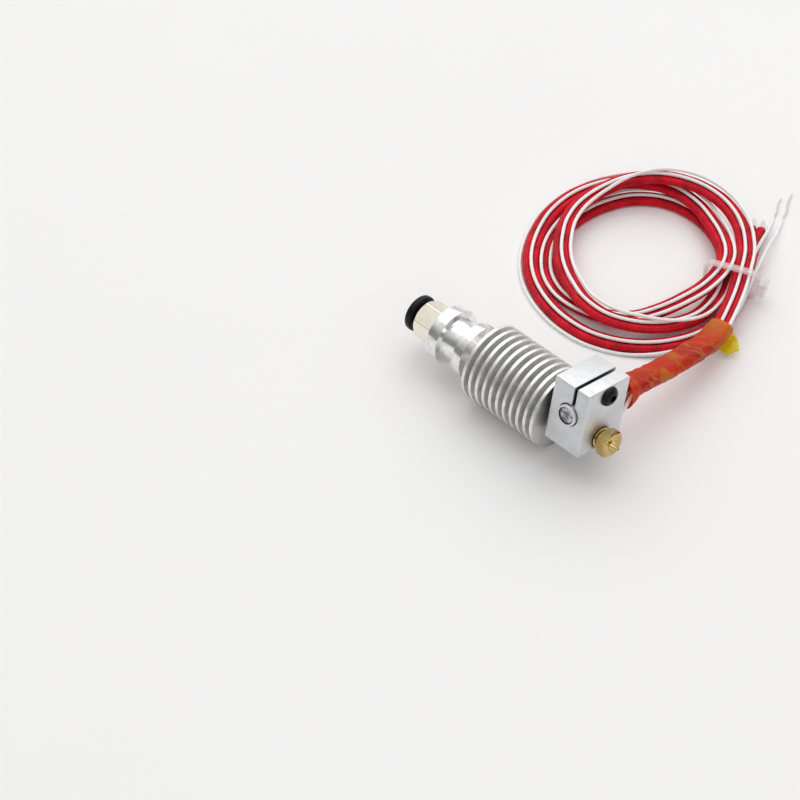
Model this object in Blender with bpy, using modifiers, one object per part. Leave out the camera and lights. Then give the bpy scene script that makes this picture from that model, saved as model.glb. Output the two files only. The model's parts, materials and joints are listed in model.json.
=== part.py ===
"""Hotend for a filament printer, lying on a table with its leads coiled beside it.

Metres, +Z up, table top at z = 0. The hotend's axis runs along +X, from the push-fit coupling to the
nozzle, one fin radius above the table. The leads leave the heater block towards +Y, run through a taped
section and lie on the table as a tied coil. The origin ends up under the middle of the whole footprint.

Two frames hold the pieces. "hotend_axis" has its Z along the hotend, its X up and its Y away from the
coil; "block_roll" is the same frame turned by the block's roll. Lead paths use "table_frame", whose
origin lies under the heat sink's upper end.
"""
import math

import bmesh
import bpy
from mathutils import Matrix, Vector

MM = 0.001

# Clearances between neighbours
FACE_GAP = 0.1 * MM
ROUND_GAP = 0.15 * MM

# Heat sink, measured along the axis from the face that carries the coupling
FLANGE_RADIUS = 8.0 * MM
GROOVE_RADIUS = 6.0 * MM
UPPER_FLANGE_END = 3.7 * MM
GROOVE_END = 9.7 * MM
LOWER_FLANGE_END = 12.7 * MM
FIN_RADIUS = 11.15 * MM
FIN_CORE_RADIUS = 4.9 * MM
FIN_THICKNESS = 1.0 * MM
FIN_PITCH = 2.5 * MM
FIN_COUNT = 11
FIRST_FIN = 16.7 * MM
SINK_END = FIRST_FIN + (FIN_COUNT - 1) * FIN_PITCH + FIN_THICKNESS
FLANGE_CHAMFER = 0.3 * MM

# Push-fit coupling
HEX_ACROSS_FLATS = 10.0 * MM
HEX_LENGTH = 7.8 * MM
HEX_CHAMFER = 0.7 * MM
HEX_TURN = math.radians(-26.0)
COUPLING_THREAD_RADIUS = 4.8 * MM
COUPLING_THREAD_LENGTH = 8.0 * MM
COUPLING_CAVITY_RADIUS = 4.25 * MM
COUPLING_CAVITY_FLOOR = -0.6 * MM
RETAINER_TOP = -8.3 * MM
RETAINER_BOTTOM = -4.1 * MM
RETAINER_BORE = 3.45 * MM
COLLET_RADIUS = 5.3 * MM
COLLET_TOP = -11.1 * MM
COLLET_UNDERSIDE = -9.0 * MM
COLLET_SLEEVE_RADIUS = 3.2 * MM
COLLET_SLEEVE_END = -4.3 * MM
COLLET_EDGE = 0.75 * MM

# Feed path
TUBE_RADIUS = 2.0 * MM
TUBE_BORE = 1.0 * MM
TUBE_TOP = -5.0 * MM
TUBE_CLEARANCE_BORE = 2.3 * MM
BREAK_TOP = 29.0 * MM
BREAK_THREAD_RADIUS = 3.5 * MM
BREAK_NECK_RADIUS = 1.5 * MM
BREAK_SEAT_DEPTH = 1.5 * MM

# Heater block
BLOCK_ROLL = math.radians(10.0)
BLOCK_GAP = 2.1 * MM
BLOCK_START = SINK_END + BLOCK_GAP
BLOCK_LENGTH = 12.0 * MM
BLOCK_END = BLOCK_START + BLOCK_LENGTH
BLOCK_HEIGHT = 20.0 * MM
BLOCK_WIDTH = 16.0 * MM
BLOCK_TOP = 16.4 * MM
BLOCK_CHAMFER = 0.3 * MM
M6_RADIUS = 3.0 * MM
M6_BORE = 3.2 * MM
BREAK_END = BLOCK_START + 5.3 * MM

# Heater cartridge, its clamp slit and clamp screw
CARTRIDGE_RADIUS = 3.0 * MM
CARTRIDGE_LENGTH = 20.0 * MM
CARTRIDGE_PROUD = 1.0 * MM
CARTRIDGE_HEIGHT = 7.4 * MM
CARTRIDGE_ALONG = BLOCK_START + 6.3 * MM
PLUG_RADIUS = 2.3 * MM
PLUG_DEPTH = 2.0 * MM
SLIT_WIDTH = 1.1 * MM
SLIT_ALONG = BLOCK_START + 7.4 * MM
SCREW_HEIGHT = 13.5 * MM
SCREW_RADIUS = 1.5 * MM
SCREW_BORE = 1.7 * MM
SCREW_HEAD_RADIUS = 2.85 * MM
SCREW_HEAD_HEIGHT = 1.65 * MM
SCREW_SOCKET_FLATS = 2.0 * MM
SCREW_SOCKET_DEPTH = 1.0 * MM
CLAMP_SCREW_REACH = 9.5 * MM

# Nozzle
NOZZLE_TOP = BREAK_END + 0.4 * MM
NOZZLE_NECK_LENGTH = 1.5 * MM
NOZZLE_RELIEF_LENGTH = 0.8 * MM
NOZZLE_RELIEF_RADIUS = 2.3 * MM
NOZZLE_HEX_FLATS = 7.0 * MM
NOZZLE_HEX_LENGTH = 3.0 * MM
NOZZLE_HEX_CHAMFER = 0.45 * MM
NOZZLE_HEX_TURN = math.radians(34.0)
NOZZLE_CONE_LENGTH = 2.0 * MM
NOZZLE_CONE_RADIUS = 1.6 * MM
NOZZLE_TIP_RADIUS = 0.5 * MM
NOZZLE_ORIFICE = 0.2 * MM
THREAD_PITCH = 1.0 * MM
THREAD_DEPTH = 0.35 * MM

# Thermistor and the screw and washer that hold its leads, on the block's coil side
THERMISTOR_ALONG = BLOCK_START + 9.6 * MM
THERMISTOR_HEIGHT = 2.0 * MM
THERMISTOR_HOLE_RADIUS = 1.3 * MM
THERMISTOR_HOLE_DEPTH = 3.6 * MM
BEAD_RADIUS = 0.9 * MM
BEAD_LENGTH = 2.6 * MM
RETAINING_ALONG = BLOCK_START + 3.4 * MM
RETAINING_HEIGHT = 0.6 * MM
RETAINING_HOLE_DEPTH = 3.8 * MM
RETAINING_SCREW_REACH = 4.0 * MM
WASHER_RADIUS = 3.0 * MM
WASHER_THICKNESS = 0.5 * MM

# Leads and the flat bundle they form. The heater leads lie side by side. Each thermistor lead lies against
# heater lead b at an angle about it: where it leaves the block, then where it stays all round the coil.
HEATER_LEAD_RADIUS = 1.15 * MM
THERMISTOR_LEAD_RADIUS = 0.5 * MM
LEAD_SPACING = 2.6 * MM
LEAD_CONTACT = HEATER_LEAD_RADIUS + THERMISTOR_LEAD_RADIUS + 0.32 * MM
UPPER_VALLEY = math.pi - math.acos(LEAD_SPACING / 2 / LEAD_CONTACT)
OUTER_SHOULDER = math.radians(50.0)
OUTER_SIDE = math.radians(-18.0)
SHOULDER_CLIMB = 1.35 * MM
THERMISTOR_ANGLES = ((math.radians(-35.0), UPPER_VALLEY), (math.radians(-100.0), OUTER_SHOULDER))

# Coil of leads on the table: its centre, the direction in which its turns start, and where its tie sits
COIL_CENTRE = Vector((10.0 * MM, 65.4 * MM, 0.0))
START_HEADING = math.radians(31.7)
COIL_TURNS = 2.97
TIE_TURN = -0.022
TIE_HEADING = START_HEADING + 2 * math.pi * TIE_TURN
LOWER_LAYER = HEATER_LEAD_RADIUS
LAYER_RISE = 3.7 * MM
TIE_LIFT = 1.4 * MM
POINTS_PER_TURN = 20

# The bundle's distance from the coil's centre, in millimetres, at eight equal steps of each turn, and its
# height there in layers. The first turn crosses over the other two from outside to inside.
LANE_RADII = (
    30.2, 31.8, 30.6, 26.0, 21.2, 22.1, 28.4, 28.2,
    25.2, 27.2, 29.2, 25.4, 23.8, 24.6, 23.2, 22.6,
    24.8, 26.2, 31.8, 31.4, 29.4, 30.1, 33.4, 33.6,
    30.4,
)
LANE_LAYERS = (
    1.0, 1.9, 1.95, 1.2, 1.0, 1.0, 1.0, 0.35,
    0.0, 0.0, 0.0, 0.0, 0.0, 0.0, 0.0, 1.0,
    1.0, 1.0, 0.95, 0.66, 0.0, 0.0, 0.0, 0.0,
    0.0,
)
KNOTS_PER_TURN = 8
RUN_IN_TURN = 0.108
RUN_IN_LANE = 6.5 * MM
RUN_IN_RISE = 0.9 * MM
HEATER_TAIL = 29.0 * MM
THERMISTOR_TAIL = 36.0 * MM

# Tape round the first stretch of the leads
TAPE_THICKNESS = 0.25 * MM

# Cable tie
TIE_BAND_WIDTH = 2.6 * MM
TIE_BAND_THICKNESS = 1.0 * MM

ROUND_STEPS = 32
FINE_STEPS = 24
SMOOTH_ANGLE = math.radians(35.0)

FINISHES = {
    "sink_aluminium": ((0.80, 0.80, 0.79), 1.0, 0.28),
    "block_aluminium": ((0.78, 0.79, 0.80), 1.0, 0.38),
    "nickel": ((0.86, 0.82, 0.72), 1.0, 0.22),
    "black_plastic": ((0.012, 0.012, 0.013), 0.0, 0.35),
    "spring_steel": ((0.55, 0.55, 0.56), 1.0, 0.35),
    "seal_rubber": ((0.02, 0.02, 0.02), 0.0, 0.6),
    "white_tube": ((0.92, 0.92, 0.90), 0.0, 0.35),
    "stainless": ((0.62, 0.61, 0.60), 1.0, 0.3),
    "cartridge_steel": ((0.45, 0.45, 0.46), 1.0, 0.42),
    "ceramic": ((0.85, 0.84, 0.80), 0.0, 0.6),
    "black_steel": ((0.02, 0.02, 0.022), 0.6, 0.42),
    "brass": ((0.78, 0.60, 0.28), 1.0, 0.25),
    "zinc_steel": ((0.60, 0.61, 0.62), 1.0, 0.35),
    "glass_bead": ((0.55, 0.30, 0.12), 0.0, 0.15),
    "red_braid": ((0.62, 0.015, 0.03), 0.0, 0.6),
    "white_sleeve": ((0.90, 0.90, 0.89), 0.0, 0.4),
    "tinned_wire": ((0.75, 0.75, 0.76), 1.0, 0.3),
    "amber_tape": ((0.80, 0.14, 0.02), 0.0, 0.22),
    "yellow_tape": ((0.85, 0.72, 0.03), 0.0, 0.3),
    "clear_nylon": ((0.90, 0.87, 0.86), 0.0, 0.3),
}


# ---------------------------------------------------------------- scene helpers

def clear_scene():
    for thing in list(bpy.data.objects):
        bpy.data.objects.remove(thing, do_unlink=True)


def new_collection(name):
    collection = bpy.data.collections.new(name)
    bpy.context.scene.collection.children.link(collection)
    return collection


def get_finish(name):
    """Principled material for one of the named finishes."""
    found = bpy.data.materials.get(name)
    if found:
        return found
    colour, metallic, roughness = FINISHES[name]
    finish = bpy.data.materials.new(name)
    finish.use_nodes = True
    surface = finish.node_tree.nodes["Principled BSDF"]
    surface.inputs["Base Color"].default_value = (*colour, 1.0)
    surface.inputs["Metallic"].default_value = metallic
    surface.inputs["Roughness"].default_value = roughness
    return finish


def place(name, data, parent, finish=None, location=(0, 0, 0), rotation=(0, 0, 0)):
    """New object in the parts collection, or in the cutters collection when it has no finish."""
    thing = bpy.data.objects.new(name, data)
    thing.parent = parent
    thing.location = location
    thing.rotation_euler = rotation
    if finish:
        data.materials.append(get_finish(finish))
        PARTS.objects.link(thing)
    else:
        CUTTERS.objects.link(thing)
        thing.hide_render = True
        thing.display_type = "WIRE"
    return thing


def new_frame(name, parent=None, location=(0, 0, 0), rotation=(0, 0, 0)):
    frame = bpy.data.objects.new(name, None)
    bpy.context.scene.collection.objects.link(frame)
    frame.parent = parent
    frame.location = location
    frame.rotation_euler = rotation
    return frame


def combine(piece, tool, operation="DIFFERENCE"):
    modifier = piece.modifiers.new(tool.name, "BOOLEAN")
    modifier.operation = operation
    modifier.solver = "EXACT"
    modifier.object = tool


# ---------------------------------------------------------------- shape helpers

def spin(name, outer, bore=None, steps=ROUND_STEPS, **placing):
    """Turned piece about local Z. Both profiles are (along, radius) pairs from low Z to high Z."""
    points = [(radius, along) for along, radius in reversed(outer)]
    if bore:
        points += [(radius, along) for along, radius in bore]
    else:
        points = [(0.0, points[0][1])] + points + [(0.0, points[-1][1])]
    edges = [(i, i + 1) for i in range(len(points) - 1)]
    if bore:
        edges.append((len(points) - 1, 0))
    mesh = bpy.data.meshes.new(name)
    mesh.from_pydata([(x, 0.0, z) for x, z in points], edges, [])
    piece = place(name, mesh, **placing)
    screw = piece.modifiers.new("turn", "SCREW")
    screw.steps = steps
    screw.render_steps = steps
    screw.use_merge_vertices = True
    screw.merge_threshold = 0.00001
    return piece


def prism(name, sides, across_flats, low, high, **placing):
    """Regular prism about local Z, between two heights; many sides make a round rod."""
    mesh = bpy.data.meshes.new(name)
    shape = bmesh.new()
    radius = across_flats / 2 / math.cos(math.pi / sides)
    middle = Matrix.Translation((0, 0, (low + high) / 2))
    bmesh.ops.create_cone(shape, cap_ends=True, segments=sides, radius1=radius, radius2=radius,
                          depth=high - low, matrix=middle)
    shape.to_mesh(mesh)
    shape.free()
    return place(name, mesh, **placing)


def round_cutter(name, radius, low, high, **placing):
    return prism(name, FINE_STEPS, 2 * radius, low, high, **placing)


def box(name, size, **placing):
    mesh = bpy.data.meshes.new(name)
    shape = bmesh.new()
    bmesh.ops.create_cube(shape, size=1.0, matrix=Matrix.Diagonal((*size, 1.0)))
    shape.to_mesh(mesh)
    shape.free()
    return place(name, mesh, **placing)


def bevel_edges(piece, width, segments=1):
    modifier = piece.modifiers.new("edges", "BEVEL")
    modifier.width = width
    modifier.segments = segments
    modifier.limit_method = "ANGLE"


def hex_barrel(name, across_flats, low, high, chamfer, bore=None, **placing):
    """Hexagon about local Z whose corners are chamfered at both ends."""
    corner = across_flats / 2 / math.cos(math.pi / 6) + 0.05 * MM
    rim = across_flats / 2 * 0.99
    outer = [(low, rim), (low + chamfer, corner), (high - chamfer, corner), (high, rim)]
    piece = spin(name, outer, bore=bore, **placing)
    flats = prism(name + "_flats", 6, across_flats, low - MM, high + MM, parent=piece.parent,
                  location=piece.location, rotation=piece.rotation_euler)
    combine(piece, flats, "INTERSECT")
    return piece


def rounded_edge(low, high, inner, outer, radius):
    """Outer profile of a disc between two heights, its two rims rounded by quarter circles."""
    turn = [math.radians(a) for a in (0, 30, 60, 90)]
    lower = [(low + radius * (1 - math.sin(a)), outer - radius * (1 - math.cos(a))) for a in turn]
    upper = [(high - radius * (1 - math.sin(a)), outer - radius * (1 - math.cos(a))) for a in turn]
    return [(low, inner)] + lower[::-1] + upper + [(high, inner)]


def wire(name, points, radius, sides_step, finish, parent):
    """Round wire with flat ends along a list of points."""
    curve = bpy.data.curves.new(name, "CURVE")
    curve.dimensions = "3D"
    curve.bevel_depth = radius
    curve.bevel_resolution = sides_step
    curve.use_fill_caps = True
    spline = curve.splines.new("POLY")
    spline.points.add(len(points) - 1)
    for slot, point in zip(spline.points, points):
        slot.co = (*point, 1.0)
    return place(name, curve, parent, finish)


def smooth_step(t):
    t = min(max(t, 0.0), 1.0)
    return t * t * (3 - 2 * t)


def cubic(start, start_pull, end, end_pull, count):
    """Points along a cubic curve; the pulls are the handle vectors at its ends."""
    points = []
    for i in range(count):
        t = i / (count - 1)
        k = 1 - t
        points.append(start * k ** 3 + (start + start_pull) * 3 * k * k * t
                      + (end - end_pull) * 3 * k * t * t + end * t ** 3)
    return points


# ---------------------------------------------------------------- heat sink and coupling

def make_heat_sink(axis):
    rim = FLANGE_RADIUS - FLANGE_CHAMFER
    outer = [
        (0.0, rim), (FLANGE_CHAMFER, FLANGE_RADIUS),
        (UPPER_FLANGE_END - FLANGE_CHAMFER, FLANGE_RADIUS), (UPPER_FLANGE_END, rim),
        (UPPER_FLANGE_END, GROOVE_RADIUS), (GROOVE_END, GROOVE_RADIUS),
        (GROOVE_END, rim), (GROOVE_END + FLANGE_CHAMFER, FLANGE_RADIUS),
        (LOWER_FLANGE_END - FLANGE_CHAMFER, FLANGE_RADIUS), (LOWER_FLANGE_END, rim),
        (LOWER_FLANGE_END, FIN_CORE_RADIUS),
    ]
    for i in range(FIN_COUNT):
        start = FIRST_FIN + i * FIN_PITCH
        end = start + FIN_THICKNESS
        outer += [(start, FIN_CORE_RADIUS), (start, FIN_RADIUS), (end, FIN_RADIUS)]
        if i < FIN_COUNT - 1:
            outer.append((end, FIN_CORE_RADIUS))
    thread_bore = COUPLING_THREAD_RADIUS + ROUND_GAP
    thread_floor = COUPLING_THREAD_LENGTH + 1.0 * MM
    break_bore = BREAK_THREAD_RADIUS + ROUND_GAP
    bore = [(0.0, thread_bore), (thread_floor, thread_bore), (thread_floor, TUBE_CLEARANCE_BORE),
            (BREAK_TOP - 0.3 * MM, TUBE_CLEARANCE_BORE), (BREAK_TOP - 0.3 * MM, break_bore),
            (SINK_END, break_bore)]
    spin("heat_sink", outer, bore, parent=axis, finish="sink_aluminium")


def make_coupling_body(axis):
    """Hexagon body with its threaded shank; the cavity takes collet, grip ring and seal."""
    body = hex_barrel("coupling_body", HEX_ACROSS_FLATS, -HEX_LENGTH, -FACE_GAP, HEX_CHAMFER,
                      parent=axis, finish="nickel", rotation=(0, 0, HEX_TURN))
    shank = round_cutter("coupling_shank", COUPLING_THREAD_RADIUS, -2.0 * MM,
                         COUPLING_THREAD_LENGTH, parent=axis)
    cavity = round_cutter("coupling_cavity", COUPLING_CAVITY_RADIUS, -HEX_LENGTH - MM,
                          COUPLING_CAVITY_FLOOR, parent=axis)
    tube_way = round_cutter("coupling_tube_way", TUBE_CLEARANCE_BORE, -2.0 * MM,
                            COUPLING_THREAD_LENGTH + MM, parent=axis)
    combine(body, shank, "UNION")
    combine(body, cavity)
    combine(body, tube_way)


def make_collet_retainer(axis):
    outer_radius = COUPLING_CAVITY_RADIUS - ROUND_GAP
    spin("collet_retainer", [(RETAINER_TOP, outer_radius), (RETAINER_BOTTOM, outer_radius)],
         [(RETAINER_TOP, RETAINER_BORE), (RETAINER_BOTTOM, RETAINER_BORE)],
         parent=axis, finish="nickel")


def make_release_collet(axis):
    """Ring that is pressed to free the tube, with the sleeve that reaches the grip ring."""
    bore_radius = TUBE_RADIUS + ROUND_GAP
    ring = rounded_edge(COLLET_TOP, COLLET_UNDERSIDE, COLLET_SLEEVE_RADIUS, COLLET_RADIUS, COLLET_EDGE)
    outer = [(COLLET_TOP, bore_radius + 0.4 * MM)] + ring[1:] + [(COLLET_SLEEVE_END, COLLET_SLEEVE_RADIUS)]
    bore = [(COLLET_TOP, bore_radius + 0.4 * MM), (COLLET_TOP + 0.4 * MM, bore_radius),
            (COLLET_SLEEVE_END, bore_radius)]
    spin("release_collet", outer[1:], bore, parent=axis, finish="black_plastic")


def make_grip_ring(axis):
    """Spring steel ring whose teeth hold the tube, seated below the collet's sleeve."""
    low = COLLET_SLEEVE_END + 0.9 * MM
    high = low + 0.4 * MM
    outer_radius = COUPLING_CAVITY_RADIUS - 0.2 * MM
    tooth_radius = TUBE_RADIUS + ROUND_GAP
    spin("grip_ring", [(low, outer_radius), (high, outer_radius)],
         [(low, tooth_radius + 0.5 * MM), (high, tooth_radius)],
         parent=axis, finish="spring_steel")


def make_tube_seal(axis):
    """Round-section seal that grips the tube below the teeth."""
    section = 0.85 * MM
    middle = TUBE_RADIUS + 0.1 * MM + section
    along = -1.8 * MM
    turns = [i * math.pi / 5 for i in range(6)]
    outer = [(along - section * math.cos(a), middle + section * math.sin(a)) for a in turns]
    bore = [(along - section * math.cos(a), middle - section * math.sin(a)) for a in turns[1:-1]]
    spin("tube_seal", outer, bore, steps=24, parent=axis, finish="seal_rubber")


# ---------------------------------------------------------------- feed path

def make_tube_liner(axis):
    end = BREAK_TOP + BREAK_SEAT_DEPTH - 0.3 * MM
    spin("tube_liner", [(TUBE_TOP, TUBE_RADIUS), (end, TUBE_RADIUS)],
         [(TUBE_TOP, TUBE_BORE), (end, TUBE_BORE)], steps=24, parent=axis, finish="white_tube")


def make_heat_break(axis):
    """Two threads joined by a thin neck that holds the heat back from the sink."""
    neck_start = SINK_END - 0.3 * MM
    neck_end = BLOCK_START + 0.3 * MM
    outer = [
        (BREAK_TOP, BREAK_THREAD_RADIUS), (neck_start, BREAK_THREAD_RADIUS),
        (neck_start, BREAK_NECK_RADIUS), (neck_end, BREAK_NECK_RADIUS),
        (neck_end, M6_RADIUS), (BREAK_END, M6_RADIUS),
    ]
    seat = BREAK_TOP + BREAK_SEAT_DEPTH
    bore = [(BREAK_TOP, TUBE_RADIUS + ROUND_GAP), (seat, TUBE_RADIUS + ROUND_GAP),
            (seat, TUBE_BORE), (BREAK_END, TUBE_BORE)]
    spin("heat_break", outer, bore, steps=FINE_STEPS, parent=axis, finish="stainless")


def nozzle_thread():
    """Ridged profile of the nozzle's thread, then its plain relief up to the hexagon."""
    end = BLOCK_END + NOZZLE_NECK_LENGTH - NOZZLE_RELIEF_LENGTH
    profile = [(NOZZLE_TOP, M6_RADIUS - THREAD_DEPTH)]
    ridges = int((end - NOZZLE_TOP) / THREAD_PITCH)
    for i in range(ridges):
        start = end - (ridges - i) * THREAD_PITCH
        profile.append((start + THREAD_PITCH * 0.4, M6_RADIUS))
        profile.append((start + THREAD_PITCH * 0.9, M6_RADIUS - THREAD_DEPTH))
    relief_end = end + NOZZLE_RELIEF_LENGTH + 0.2 * MM
    return profile + [(end, NOZZLE_RELIEF_RADIUS), (relief_end, NOZZLE_RELIEF_RADIUS)]


def make_nozzle(axis):
    hex_start = BLOCK_END + NOZZLE_NECK_LENGTH
    hex_end = hex_start + NOZZLE_HEX_LENGTH
    tip = hex_end + NOZZLE_CONE_LENGTH
    nozzle = hex_barrel("nozzle", NOZZLE_HEX_FLATS, hex_start, hex_end, NOZZLE_HEX_CHAMFER,
                        parent=axis, finish="brass", rotation=(0, 0, NOZZLE_HEX_TURN))
    thread = spin("nozzle_thread", nozzle_thread(), steps=FINE_STEPS, parent=axis)
    cone = spin("nozzle_cone", [(hex_end - 0.2 * MM, NOZZLE_CONE_RADIUS), (hex_end, NOZZLE_CONE_RADIUS),
                                (tip, NOZZLE_TIP_RADIUS)], steps=FINE_STEPS, parent=axis)
    melt_end = hex_end + 0.4 * MM
    melt_way = spin("nozzle_melt_way", [(NOZZLE_TOP - MM, TUBE_BORE), (melt_end, TUBE_BORE),
                                        (melt_end + 0.9 * MM, NOZZLE_ORIFICE),
                                        (tip + MM, NOZZLE_ORIFICE)], steps=16, parent=axis)
    combine(nozzle, thread, "UNION")
    combine(nozzle, cone, "UNION")
    combine(nozzle, melt_way)


# ---------------------------------------------------------------- heater block and what it holds

def make_heater_block(block):
    """Block with its nozzle and cartridge bores, clamp slit, screw holes and thermistor hole."""
    middle = (BLOCK_TOP - BLOCK_HEIGHT / 2, 0.0, BLOCK_START + BLOCK_LENGTH / 2)
    piece = box("heater_block", (BLOCK_HEIGHT, BLOCK_WIDTH, BLOCK_LENGTH), parent=block,
                finish="block_aluminium", location=middle)
    bevel_edges(piece, BLOCK_CHAMFER)
    across = (math.pi / 2, 0, 0)
    side = BLOCK_WIDTH / 2
    centre_bore = round_cutter("block_centre_bore", M6_BORE, BLOCK_START - MM, BLOCK_END + MM, parent=block)
    cartridge_bore = round_cutter("block_cartridge_bore", CARTRIDGE_RADIUS + ROUND_GAP, -side - MM,
                                  side + MM, parent=block, rotation=across,
                                  location=(CARTRIDGE_HEIGHT, 0, CARTRIDGE_ALONG))
    slit_height = BLOCK_TOP - CARTRIDGE_HEIGHT
    slit = box("block_slit", (slit_height, BLOCK_WIDTH + 2 * MM, SLIT_WIDTH), parent=block,
               location=(CARTRIDGE_HEIGHT + slit_height / 2 + 0.5 * MM, 0, SLIT_ALONG))
    screw_bore = round_cutter("block_screw_bore", SCREW_BORE, BLOCK_START - MM, BLOCK_END + MM,
                              parent=block, location=(SCREW_HEIGHT, 0, 0))
    thermistor_hole = round_cutter("block_thermistor_hole", THERMISTOR_HOLE_RADIUS,
                                   side - THERMISTOR_HOLE_DEPTH, side + MM, parent=block,
                                   rotation=across, location=(THERMISTOR_HEIGHT, 0, THERMISTOR_ALONG))
    retaining_hole = round_cutter("block_retaining_hole", SCREW_BORE, side - RETAINING_HOLE_DEPTH,
                                  side + MM, parent=block, rotation=across,
                                  location=(RETAINING_HEIGHT, 0, RETAINING_ALONG))
    for tool in (centre_bore, cartridge_bore, slit, screw_bore, thermistor_hole, retaining_hole):
        combine(piece, tool)


def make_cartridge(block):
    """Sheathed heater pushed through the block; its lead end is a cup closed by a ceramic plug."""
    start = -BLOCK_WIDTH / 2 - CARTRIDGE_PROUD
    end = start + CARTRIDGE_LENGTH
    edge = 0.3 * MM
    placing = {"parent": block, "rotation": (math.pi / 2, 0, 0),
               "location": (CARTRIDGE_HEIGHT, 0, CARTRIDGE_ALONG)}
    outer = [(start, CARTRIDGE_RADIUS - edge), (start + edge, CARTRIDGE_RADIUS),
             (end, CARTRIDGE_RADIUS), (end, PLUG_RADIUS + ROUND_GAP),
             (end - PLUG_DEPTH, PLUG_RADIUS + ROUND_GAP)]
    spin("heater_cartridge", outer, steps=FINE_STEPS, finish="cartridge_steel", **placing)
    plug_start = end - PLUG_DEPTH + FACE_GAP
    spin("cartridge_plug", [(plug_start, PLUG_RADIUS), (end + 0.2 * MM, PLUG_RADIUS)],
         steps=24, finish="ceramic", **placing)


def make_button_screw(name, reach, finish, **placing):
    """Round-headed socket screw along local Z; the head's underside is at z = 0."""
    head = [(SCREW_HEAD_HEIGHT * math.sin(a), SCREW_HEAD_RADIUS * math.cos(a) * 0.75 + SCREW_HEAD_RADIUS * 0.25)
            for a in (math.radians(d) for d in (15, 35, 55, 75, 90))]
    outer = [(-reach, SCREW_RADIUS), (0.0, SCREW_RADIUS), (0.0, SCREW_HEAD_RADIUS)] + head
    piece = spin(name, outer, steps=FINE_STEPS, finish=finish, **placing)
    socket = prism(name + "_socket", 6, SCREW_SOCKET_FLATS, SCREW_HEAD_HEIGHT - SCREW_SOCKET_DEPTH,
                   SCREW_HEAD_HEIGHT + MM, **placing)
    combine(piece, socket)


def make_thermistor(block):
    """Glass bead in its hole, and the washer and screw that hold its leads down."""
    across = (math.pi / 2, 0, 0)
    side = BLOCK_WIDTH / 2
    deep = side - THERMISTOR_HOLE_DEPTH + 0.3 * MM
    bead = rounded_edge(deep, deep + BEAD_LENGTH, 0.1 * MM, BEAD_RADIUS, BEAD_RADIUS * 0.8)
    spin("thermistor_bead", bead, steps=16, parent=block, finish="glass_bead", rotation=across,
         location=(THERMISTOR_HEIGHT, 0, THERMISTOR_ALONG))
    at_hole = {"parent": block, "rotation": across, "location": (RETAINING_HEIGHT, 0, RETAINING_ALONG)}
    washer_base = side + FACE_GAP
    washer_top = washer_base + WASHER_THICKNESS
    spin("thermistor_washer", [(washer_base, WASHER_RADIUS), (washer_top, WASHER_RADIUS)],
         [(washer_base, SCREW_BORE), (washer_top, SCREW_BORE)], steps=24, finish="zinc_steel", **at_hole)
    at_head = dict(at_hole, location=(RETAINING_HEIGHT, -washer_top - FACE_GAP, RETAINING_ALONG))
    make_button_screw("thermistor_screw", RETAINING_SCREW_REACH, "zinc_steel", **at_head)


# ---------------------------------------------------------------- leads

def between_knots(values, turn):
    """Smooth curve through values that are spaced evenly round the coil."""
    place_on = min(max(turn * KNOTS_PER_TURN, 0.0), len(values) - 1.0)
    i = min(int(place_on), len(values) - 2)
    t = place_on - i
    start, end = values[i], values[i + 1]
    rise_in = (end - values[max(i - 1, 0)]) / 2
    rise_out = (values[min(i + 2, len(values) - 1)] - start) / 2
    return (start * (1 + 2 * t) * (1 - t) ** 2 + end * (3 - 2 * t) * t * t
            + rise_in * t * (1 - t) ** 2 - rise_out * (1 - t) * t * t)


def coil_lane(turn):
    """Radius and height of the bundle, a number of turns after it first meets the tie."""
    away = max(-turn / RUN_IN_TURN, 0.0) ** 2
    radius = between_knots(LANE_RADII, turn) * MM + RUN_IN_LANE * away
    height = LOWER_LAYER + max(between_knots(LANE_LAYERS, turn), 0.0) * LAYER_RISE + RUN_IN_RISE * away
    past_tie = turn - TIE_TURN
    from_tie = (past_tie - round(past_tie)) * 360.0
    return radius, height + TIE_LIFT * math.exp(-(from_tie / 22.0) ** 2)


def coil_point(turn):
    """Point of the bundle's centre line."""
    radius, height = coil_lane(turn)
    heading = START_HEADING + 2 * math.pi * turn
    return COIL_CENTRE + Vector((math.cos(heading) * radius, math.sin(heading) * radius, height))


def coil_travel(turn):
    """Unit vector along the bundle at a given turn."""
    step = 0.002
    return (coil_point(turn + step) - coil_point(turn - step)).normalized()


def block_to_table(height, width, along):
    """Point given in the block's rolled frame, as a point in the table frame."""
    up = height * math.cos(BLOCK_ROLL) + width * math.sin(BLOCK_ROLL)
    sideways = height * math.sin(BLOCK_ROLL) - width * math.cos(BLOCK_ROLL)
    return Vector((along, sideways, FIN_RADIUS + up))


def bundle_line():
    """Centre line of the bundle: block to coil, then the turns at which it goes round the coil."""
    far_end = BLOCK_WIDTH / 2 - CARTRIDGE_PROUD + CARTRIDGE_LENGTH - BLOCK_WIDTH + 0.5 * MM
    start = block_to_table(CARTRIDGE_HEIGHT, -far_end, CARTRIDGE_ALONG)
    outward = Vector((0, math.cos(BLOCK_ROLL), -math.sin(BLOCK_ROLL)))
    meet = coil_point(-RUN_IN_TURN)
    arrive = coil_travel(-RUN_IN_TURN + 0.003)
    run_out = cubic(start, outward * 9 * MM, meet, arrive * 14 * MM, 11)
    count = round((COIL_TURNS + RUN_IN_TURN) * POINTS_PER_TURN)
    step = (COIL_TURNS + RUN_IN_TURN) / count
    turns = [step * i - RUN_IN_TURN for i in range(1, count)]
    return run_out, turns


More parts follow.
